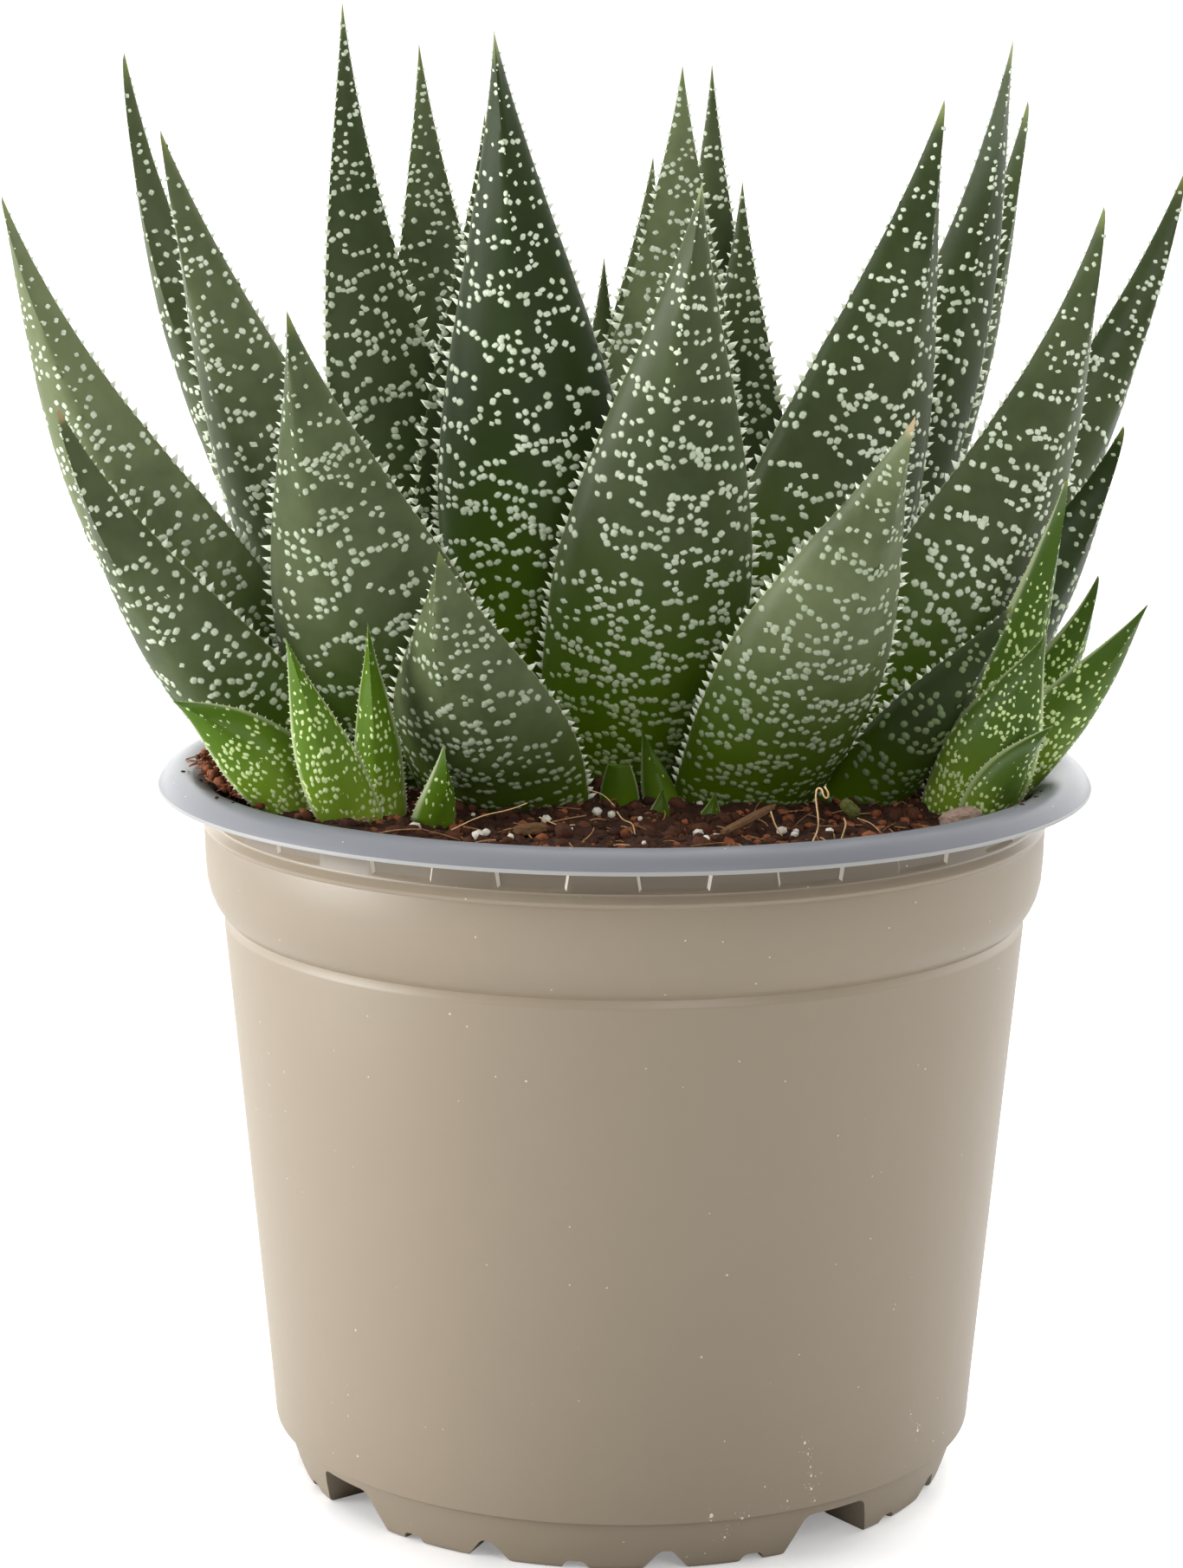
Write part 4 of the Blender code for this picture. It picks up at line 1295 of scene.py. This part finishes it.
# %% Layers by place
LINING_FROM = 6.0
LINING_MARGIN = 0.06
LIP_RADIUS, LIP_TOP = 59.6, 91.5
COLLAR_SPAN = (panel_low - 0.1, 91.3)
COLLAR_RADII = (52.6, 54.3)
BEAD_SPAN = (86.3, 87.6)
STEP_SPAN = (73.3, 74.35)
TILTED = 0.3
inner_heights = [height for _, height in LINING[2:]]
inner_radii = [radius for radius, _ in LINING[2:]]


def lies_in(value, span):
    """Whether a value lies between the two of a span."""
    return span[0] < value < span[1]


def face_look(face):
    """The material name for a face by where it lies and looks: a plastic layer, painted shade or painted
    highlight.
    """
    x, y, z = (value / MM for value in face.center)
    radius = math.hypot(x, y)
    looks_up = face.normal.z > TILTED
    looks_sideways = abs(face.normal.x * y - face.normal.y * x) / radius > TILTED
    if radius > LIP_RADIUS and z < LIP_TOP:
        return "pot_cut_edge"
    if z > LINING_FROM and radius < np.interp(z, inner_heights, inner_radii) + LINING_MARGIN:
        return "pot_grey"
    on_collar = lies_in(z, COLLAR_SPAN) and lies_in(radius, COLLAR_RADII)
    # The panels' edges get a painted highlight.
    if on_collar and looks_sideways:
        return "pot_panel_edge_highlight"
    # Faces on the collar that look up, and the top of the bead under it, get a painted highlight.
    if looks_up and (on_collar or lies_in(z, BEAD_SPAN)):
        return "pot_ledge_highlight"
    # The ledge at the step gets a painted highlight.
    if looks_up and lies_in(z, STEP_SPAN):
        return "pot_step_highlight"
    # The rest of the collar gets painted shade, as the rim overhangs it.
    return "pot_collar_shade" if on_collar else "pot_taupe"


for face in pot.data.polygons:
    face.material_index = LOOK_ORDER.index(face_look(face))
take_up(pot)
bpy.ops.object.shade_smooth_by_angle(angle=math.radians(38))
lining_index = LOOK_ORDER.index("pot_grey")
print("faces of the lining:", sum(face.material_index == lining_index for face in pot.data.polygons))

# %% [markdown]
# ## Dried water
#
# Drops have run down the wall low on the right and left pale, chalky spots. They are thin discs on the plastic,
# made from the tubercle's blank: some listed one by one, each with finer ones scattered round it.

# %% Water spots
WATER_SPOTS = [
    (28.5, 16.0, 0.42), (29.2, 14.4, 0.30), (29.8, 12.6, 0.24), (30.0, 11.4, 0.42), (30.2, 9.6, 0.34),
    (31.0, 7.9, 0.26), (13.5, 8.0, 0.55), (18.5, 7.2, 0.34), (19.6, 7.4, 0.22), (16.5, 4.2, 0.34),
    (26.0, 8.6, 0.30), (53.5, 12.7, 0.40), (22.0, 11.0, 0.20), (51.0, 15.5, 0.22),
]
FINE_SPOTS = 7
SPOT_SHARE = 0.6
SPOT_HEIGHT = 0.04
wall_section = sorted((height, radius) for radius, height in OUTSIDE if radius > 42.6 and height < 36.0)
wall_heights, wall_radii = zip(*wall_section)
draw = random.Random("water")
spots = []
for bearing, height, size in WATER_SPOTS:
    spots.append((bearing, height, size))
    for number in range(FINE_SPOTS):
        near, level = bearing + draw.gauss(0.0, 0.7), height + draw.gauss(0.0, 0.8)
        spots.append((near, level, size * draw.uniform(0.15, 0.4)))
origins, axes = [], []
for bearing, height, size in spots:
    turn = compass(bearing)
    radius = float(np.interp(height, wall_heights, wall_radii))
    out = np.array((math.cos(turn), math.sin(turn), 0.0))
    around = np.array((-math.sin(turn), math.cos(turn), 0.0))
    origins.append(out * radius + UP * height)
    size *= SPOT_SHARE
    axes.append((around * size * draw.uniform(0.6, 1.0), UP * size, out * SPOT_HEIGHT))
water = copies("water", wart_blank, np.array(origins), np.array(axes), dried_water)
pot = join([pot, water], "fine_pot")
print("water spots:", len(spots))
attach(pot, "root")
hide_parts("pot")

# %% [markdown]
# ## Soil
#
# The mix is peat and coir: dark red-brown crumbs, orange-brown fibres, and a few white grains of perlite. Its
# surface is a disc of small squares, lifted by noise on three scales, with its rim carried down to the pot's floor
# so that it is a closed body. Crumbs, grains and fibres are copies of two small blanks, strewn over it. On the
# left a heap of loose red coir leans against the wall.

# %% Soil height
SOIL_HEIGHT = 91.0
SOIL_RADIUS = 51.6
SOIL_HEAP = 2.6
SOIL_MOUND = 1.3
SOIL_MOUND_REACH = 34.0
SOIL_SQUARES = 150
SOIL_NOISES = ((0.8, 14.0, 0.0), (0.8, 3.5, 9.0), (0.6, 1.3, 5.0))
SOIL_RINGS = [(51.6, 88.0), (50.1, 73.0), (44.0, 6.8), (20.0, 6.8)]


def soil_height(x, y):
    """Raised in the middle, heaped to the left wall, and uneven on three scales, all in mm."""
    slope = -x / 51.9
    heap = SOIL_HEAP * max(slope, 0.0) ** 3 + min(slope, 0.0)
    mound = SOIL_MOUND * max(1.0 - (x * x + y * y) / SOIL_MOUND_REACH ** 2, 0.0)
    height = SOIL_HEIGHT + heap + mound
    for lift, reach, layer in SOIL_NOISES:
        height += lift * noise.noise(Vector((x, y, layer)) / reach)
    return height


print("soil height in the middle in mm:", round(soil_height(0.0, 0.0), 1))

# %% Soil colours
EARTHS = {
    "peat": (rgb(34, 20, 13), rgb(86, 50, 32), 0.9),
    "coir_fibre": (rgb(112, 72, 42), rgb(184, 142, 98), 0.8),
    "perlite": (rgb(176, 168, 150), rgb(226, 222, 208), 0.85),
    "coir_red": (rgb(86, 46, 28), rgb(168, 100, 64), 0.85),
    "bark": (rgb(74, 50, 32), rgb(122, 90, 60), 0.85),
    "pumice": (rgb(96, 74, 62), rgb(168, 144, 128), 0.9),
    "bud": (rgb(60, 66, 26), rgb(112, 116, 56), 0.6),
    "root": (rgb(196, 150, 98), rgb(232, 200, 150), 0.6),
}


def earth_material(name, dark, light, roughness):
    """Dull organic matter whose shade changes from crumb to crumb by the number 'tint'."""
    made, tree, shader = new_material(name, roughness, specular=0.25)
    patch = ramp(tree, use_group(tree, MOTTLE, Large=220.0, Small=1500.0, Share=0.5), 0.3, 0.7)
    mixed = math_node(tree, "MULTIPLY", math_node(tree, "ADD", patch, attribute(tree, "tint")), 0.5)
    finish_material(tree, shader, blend(tree, mixed, dark, light), 2600.0, 0.0002, 0.7)
    return made


earth = {name: earth_material(name, *finish) for name, finish in EARTHS.items()}
print("soil materials:", list(earth))

# %% Soil body
start_clean()
bpy.ops.mesh.primitive_grid_add(
    x_subdivisions=SOIL_SQUARES, y_subdivisions=SOIL_SQUARES, size=2.06 * SOIL_RADIUS * MM
)
soil = bpy.context.object
soil.name = "fine_soil"
pick_points(soil, lambda place: place.length > SOIL_RADIUS * MM * 0.995)
with edit_mode():
    bpy.ops.mesh.delete(type="VERT")
    bpy.ops.mesh.select_all(action="SELECT")
    bpy.ops.mesh.region_to_loop()
    for _ in SOIL_RINGS:
        bpy.ops.mesh.extrude_region_move(TRANSFORM_OT_translate={"value": (0.0, 0.0, -MM)})
    bpy.ops.mesh.edge_face_add()
for point in soil.data.vertices:
    x, y = point.co.x / MM, point.co.y / MM
    level = round(-point.co.z / MM)
    if level == 0:
        point.co.z = soil_height(x, y) * MM
    else:
        wall_radius, wall_height = SOIL_RINGS[level - 1]
        share = wall_radius / math.hypot(x, y)
        point.co = Vector((x * share, y * share, wall_height)) * MM
soil.data.materials.append(earth["peat"])
set_number(soil, "tint", 0.1)
take_up(soil)
with edit_mode(select_all=True):
    bpy.ops.mesh.normals_make_consistent(inside=False)
bpy.ops.object.shade_smooth_by_angle(angle=math.radians(60))
print("soil faces:", len(soil.data.polygons))

# %% Crumb and fibre blanks
start_clean()
bpy.ops.mesh.primitive_ico_sphere_add(subdivisions=1, radius=1.0)
with edit_mode():
    bpy.ops.transform.vertex_random(offset=0.3, uniform=0.2, seed=4)
crumb_blank = as_blank(bpy.context.object)

FIBRE_BENDS = 5
start_clean()
bpy.ops.mesh.primitive_cylinder_add(vertices=3, radius=1.0, depth=2.0, end_fill_type="NGON")
with edit_mode():
    for number in range(1, FIBRE_BENDS):
        bpy.ops.mesh.select_all(action="SELECT")
        level = -1.0 + 2.0 * number / FIBRE_BENDS
        bpy.ops.mesh.bisect(plane_co=(0.0, 0.0, level), plane_no=(0.0, 0.0, 1.0))
fibre_blank = as_blank(bpy.context.object)
print("crumb faces:", len(crumb_blank.sizes), "fibre faces:", len(fibre_blank.sizes))


def strew(draw, count, reach=SOIL_RADIUS - 0.6):
    """Random places on the soil, evenly spread over its disc."""
    radii = [reach * math.sqrt(draw.random()) for _ in range(count)]
    bearings = [draw.uniform(0.0, 2.0 * math.pi) for _ in range(count)]
    plan = [(r * math.cos(b), r * math.sin(b)) for r, b in zip(radii, bearings)]
    return np.array([(x, y, soil_height(x, y)) for x, y in plan])


def random_axes(draw, sizes, flatness):
    """Random turns for crumbs, each with its own size and a little squashed."""
    turns = []
    for size in sizes:
        spin = Matrix.Rotation(draw.uniform(0, 6.28), 3, "Z")
        turn = spin @ Matrix.Rotation(draw.uniform(-0.8, 0.8), 3, "X")
        stretch = draw.uniform(0.7, 1.4)
        along, across, up = turn.col
        turns.append([along * size * stretch, across * size / stretch, up * size * flatness])
    return np.array(turns)


# %% Strewing
CRUMB_COUNT = 5200
RED_CRUMBS = 1700
FIBRE_COUNT = 420
PERLITE_COUNT = 70
draw = random.Random("soil")
places = strew(draw, CRUMB_COUNT)
sizes = [min(0.28 + draw.expovariate(3.2), 1.6) for _ in range(CRUMB_COUNT)]
crumb_axes = random_axes(draw, sizes, 0.75)
crumbs = copies("crumbs", crumb_blank, places[RED_CRUMBS:], crumb_axes[RED_CRUMBS:], earth["peat"])
tints = np.array([draw.random() ** 1.6 * 1.4 for _ in range(CRUMB_COUNT)])
set_for_each(crumbs, "tint", tints[RED_CRUMBS:])
red_axes = crumb_axes[:RED_CRUMBS] * 0.75
red_crumbs = copies("red_crumbs", crumb_blank, places[:RED_CRUMBS], red_axes, earth["coir_red"])
set_for_each(red_crumbs, "tint", tints[:RED_CRUMBS] * 0.6)

places = strew(draw, PERLITE_COUNT)
sizes = [draw.uniform(0.3, 0.75) for _ in range(PERLITE_COUNT)]
grain_axes = random_axes(draw, sizes, 0.9)
grains = copies("grains", crumb_blank, places + (0.0, 0.0, 0.3), grain_axes, earth["perlite"])
set_number(grains, "tint", 1.0)


def bent_fibre(draw, place, length, thickness):
    """One fibre: the blank's rings laid along a curved line near the ground."""
    bearing = draw.uniform(0.0, 2.0 * math.pi)
    rise = draw.uniform(-0.1, 0.45)
    onward = Vector((math.cos(bearing), math.sin(bearing), rise)).normalized()
    sideways = onward.cross(Vector((0.0, 0.0, 1.0))).normalized()
    upwards = sideways.cross(onward)
    bend, sag = draw.uniform(-0.35, 0.35), draw.uniform(0.0, 0.25)
    points = []
    for x, y, z in fibre_blank.points:
        line = onward * (z * length / 2) + (sideways * bend - upwards * sag) * (z * z * length / 2)
        points.append(Vector(place) + line + (sideways * x + upwards * y) * thickness)
    return points


def fibre_object(draw, name, points, material):
    """One object from the points of many bent fibres, with a tint for each."""
    count = len(points) // len(fibre_blank.points)
    corners = fibre_blank.corners[None, :] + np.arange(count)[:, None] * len(fibre_blank.points)
    made = object_from_arrays(name, np.array(points), corners, np.tile(fibre_blank.sizes, count), material)
    set_for_each(made, "tint", [draw.random() for _ in range(count)])
    return made


places = strew(draw, FIBRE_COUNT)
fibre_points = []
for place in places:
    length = draw.uniform(1.5, 7.0)
    fibre_points += bent_fibre(draw, place + (0.0, 0.0, 0.35), length, draw.uniform(0.05, 0.12))
fibres = fibre_object(draw, "fibres", fibre_points, earth["coir_fibre"])
print("crumbs, grains and fibres:", CRUMB_COUNT, PERLITE_COUNT, FIBRE_COUNT)

# %% Coir heap
HEAP_FIBRES = 460
HEAP_CRUMBS = 700
HEAP_BEARINGS = (165.0, 212.0)
HEAP_RADII = [44.0, 48.0, 52.4, 55.2]
HEAP_TOPS = [92.6, 94.2, 95.0, 95.3]


def heap_place(draw):
    """A place in the heap of coir that leans on the left wall and lies on the slope of the rim."""
    start, end = HEAP_BEARINGS
    share = draw.random()
    bearing = math.radians(start + (end - start) * share)
    radius = draw.uniform(HEAP_RADII[0], HEAP_RADII[-1] - 2.5 * abs(2.0 * share - 1.0))
    top = float(np.interp(radius, HEAP_RADII, HEAP_TOPS)) - 1.2 * abs(2.0 * share - 1.0)
    return np.array((radius * math.cos(bearing), radius * math.sin(bearing), top - 1.2 * draw.random()))


heap_points = []
for _ in range(HEAP_FIBRES):
    heap_points += bent_fibre(draw, heap_place(draw), draw.uniform(1.5, 4.5), draw.uniform(0.07, 0.14))
heap = fibre_object(draw, "coir_heap", heap_points, earth["coir_red"])
places = np.array([heap_place(draw) for _ in range(HEAP_CRUMBS)])
sizes = [draw.uniform(0.3, 0.9) for _ in range(HEAP_CRUMBS)]
heap_crumbs = copies("heap_crumbs", crumb_blank, places, random_axes(draw, sizes, 0.8), earth["coir_red"])
set_number(heap_crumbs, "tint", 0.1)
print("heap fibres and crumbs:", HEAP_FIBRES, HEAP_CRUMBS)

# %% [markdown]
# ## What lies on the soil
#
# A few larger things are where they are by chance and are listed one by one: a chip of bark, a crumb of pumice, a
# seedling's bud, single grains of perlite and some stray roots, one of them curled up like a hook. Lumps are
# subdivided cubes whose points are moved at random, and roots are curves with a round section.

# %% Places of lumps and roots
LUMPS = [
    ("bark", (14.6, -35.6, 92.9), (3.4, 0.5, 0.28), (42.0, 14.0)),
    ("pumice", (40.8, -29.2, 91.9), (2.0, 1.2, 0.8), (38.0, 6.0)),
    ("bud", (27.4, -27.5, 92.7), (0.6, 0.6, 1.0), (10.0, 48.0)),
    ("bark", (-11.6, -37.0, 91.9), (1.5, 0.8, 0.5), (10.0, 5.0)),
]
HAND_GRAINS = [
    (-17.8, -38.0, 1.05), (-16.9, -37.4, 0.7), (-3.5, -27.5, 0.75), (-9.8, -30.2, 0.75), (4.8, -47.2, 0.95),
    (9.4, -41.1, 0.65), (20.5, -33.1, 0.5), (24.4, -36.0, 0.6), (-6.8, -38.0, 0.35), (2.0, -43.0, 0.35),
]
ROOTS = [
    (0.11, [(21.9, 91.6), (22.55, 93.2), (22.6, 94.5), (22.4, 96.1), (22.3, 97.6), (22.5, 98.2), (22.9, 98.2),
            (23.2, 97.4), (23.6, 97.1), (23.75, 97.5), (23.3, 98.5)], -43.4),
    (0.09, [(25.3, 91.6), (25.7, 92.9), (25.9, 93.9), (25.7, 94.5)], -42.5),
    (0.07, [(-21.0, 92.0), (-17.5, 93.6), (-13.8, 94.6), (-11.9, 95.3)], -38.0),
    (0.08, [(-1.2, 94.4), (-0.4, 93.4), (0.6, 92.9), (1.0, 91.6)], -38.5),
    (0.06, [(-4.6, 95.4), (-2.8, 94.7), (-1.4, 93.4)], -30.0),
    (0.09, [(17.2, 94.5), (17.8, 92.8), (18.6, 91.5)], -38.6),
    (0.06, [(27.6, 93.6), (29.3, 92.9), (30.4, 91.9)], -38.0),
    (0.07, [(-10.5, 93.4), (-8.0, 92.4), (-6.2, 92.5)], -37.0),
]
print("lumps, grains and roots by hand:", len(LUMPS), len(HAND_GRAINS), len(ROOTS))

# %% Lumps and roots


def lump(name, look, place, half_sizes, turns):
    """An uneven lump: half sizes along, across and up, turned to a bearing and then tipped up at its far end."""
    start_clean()
    bpy.ops.mesh.primitive_cube_add(size=2.0)
    piece = bpy.context.object
    piece.name = name
    with edit_mode():
        bpy.ops.mesh.subdivide(number_cuts=5, smoothness=0.6)
        bpy.ops.transform.vertex_random(offset=0.16, uniform=0.5, seed=7)
    bearing, tip_up = (math.radians(value) for value in turns)
    turn = Matrix.Rotation(bearing, 4, "Z") @ Matrix.Rotation(-tip_up, 4, "Y")
    shape = Matrix.Diagonal((*(Vector(half_sizes) * MM), 1.0))
    piece.data.transform(Matrix.Translation(Vector(place) * MM) @ turn @ shape)
    piece.data.materials.append(earth[look])
    set_number(piece, "tint", 0.7)
    return piece


def root(name, thickness, outline, depth):
    """A root that stands in a plane across the view, as a mesh tube."""
    curve = bpy.data.curves.new(name, "CURVE")
    curve.dimensions = "3D"
    curve.bevel_depth = thickness * MM
    curve.bevel_resolution = 1
    curve.resolution_u = 5
    curve.use_fill_caps = True
    line = curve.splines.new("BEZIER")
    line.bezier_points.add(len(outline) - 1)
    for point, (x, z) in zip(line.bezier_points, outline):
        sway = 0.5 * noise.noise(Vector((x, depth, z)))
        point.co = Vector((x, depth + sway, z)) * MM
        point.handle_left_type = point.handle_right_type = "AUTO"
    made = bpy.data.objects.new(name, curve)
    bpy.context.scene.collection.objects.link(made)
    take_up(made)
    bpy.ops.object.convert(target="MESH")
    piece = bpy.context.object
    with edit_mode(select_all=True):
        bpy.ops.mesh.remove_doubles(threshold=0.000001)
    piece.data.materials.clear()
    piece.data.materials.append(earth["root"])
    set_number(piece, "tint", 0.8)
    return piece


found = [lump(f"lump_{number}", *values) for number, values in enumerate(LUMPS)]
found += [root(f"root_{number}", *values) for number, values in enumerate(ROOTS)]
places = np.array([(x, y, soil_height(x, y) + 0.5) for x, y, _ in HAND_GRAINS])
hand_axes = random_axes(draw, [size for _, _, size in HAND_GRAINS], 0.85)
hand_grains = copies("hand_grains", crumb_blank, places, hand_axes, earth["perlite"])
set_number(hand_grains, "tint", 1.4)
print("lumps and roots:", [piece.name for piece in found])

# %% Crumbs on the rim
RIM_CRUMBS = 34
RIM_SPREAD = 9.0
RIM_BEARINGS = (62.0, 62.0, 62.0, -66.0, -58.0)
RIM_RADII = [52.4, 53.1, 53.9, 55.6, 57.2, 58.0]
RIM_HEIGHTS = [90.6, 91.7, 92.4, 93.45, 93.82, 93.6]
places, sizes = [], []
for number in range(RIM_CRUMBS):
    bearing = compass(draw.choice(RIM_BEARINGS) + draw.gauss(0.0, RIM_SPREAD))
    radius = draw.uniform(52.6, 57.5)
    height = np.interp(radius, RIM_RADII, RIM_HEIGHTS)
    places.append((radius * math.cos(bearing), radius * math.sin(bearing), height))
    sizes.append(draw.uniform(0.12, 0.42))
rim_crumbs = copies("rim_crumbs", crumb_blank, np.array(places), random_axes(draw, sizes, 0.7), earth["peat"])
set_number(rim_crumbs, "tint", 0.2)

strewn = [crumbs, red_crumbs, grains, fibres, heap, heap_crumbs, hand_grains, rim_crumbs]
soil = join([soil] + strewn + found, "fine_soil")
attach(soil, "root")
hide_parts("soil")
print("soil triangles:", sum(len(face.vertices) - 2 for face in soil.data.polygons))

# %% [markdown]
# ## Stems
#
# The short stems stay as they are, because leaves and soil hide them. They only get the look of dry fibre.

# %% Stem finish
stem_fibre = earth_material("stem_fibre", rgb(60, 44, 26), rgb(132, 112, 74), 0.8)
stems = [node for name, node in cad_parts.items() if name.endswith("_stem")]
for stem in stems:
    stem.data.materials.clear()
    stem.data.materials.append(stem_fibre)
print("stems:", len(stems))
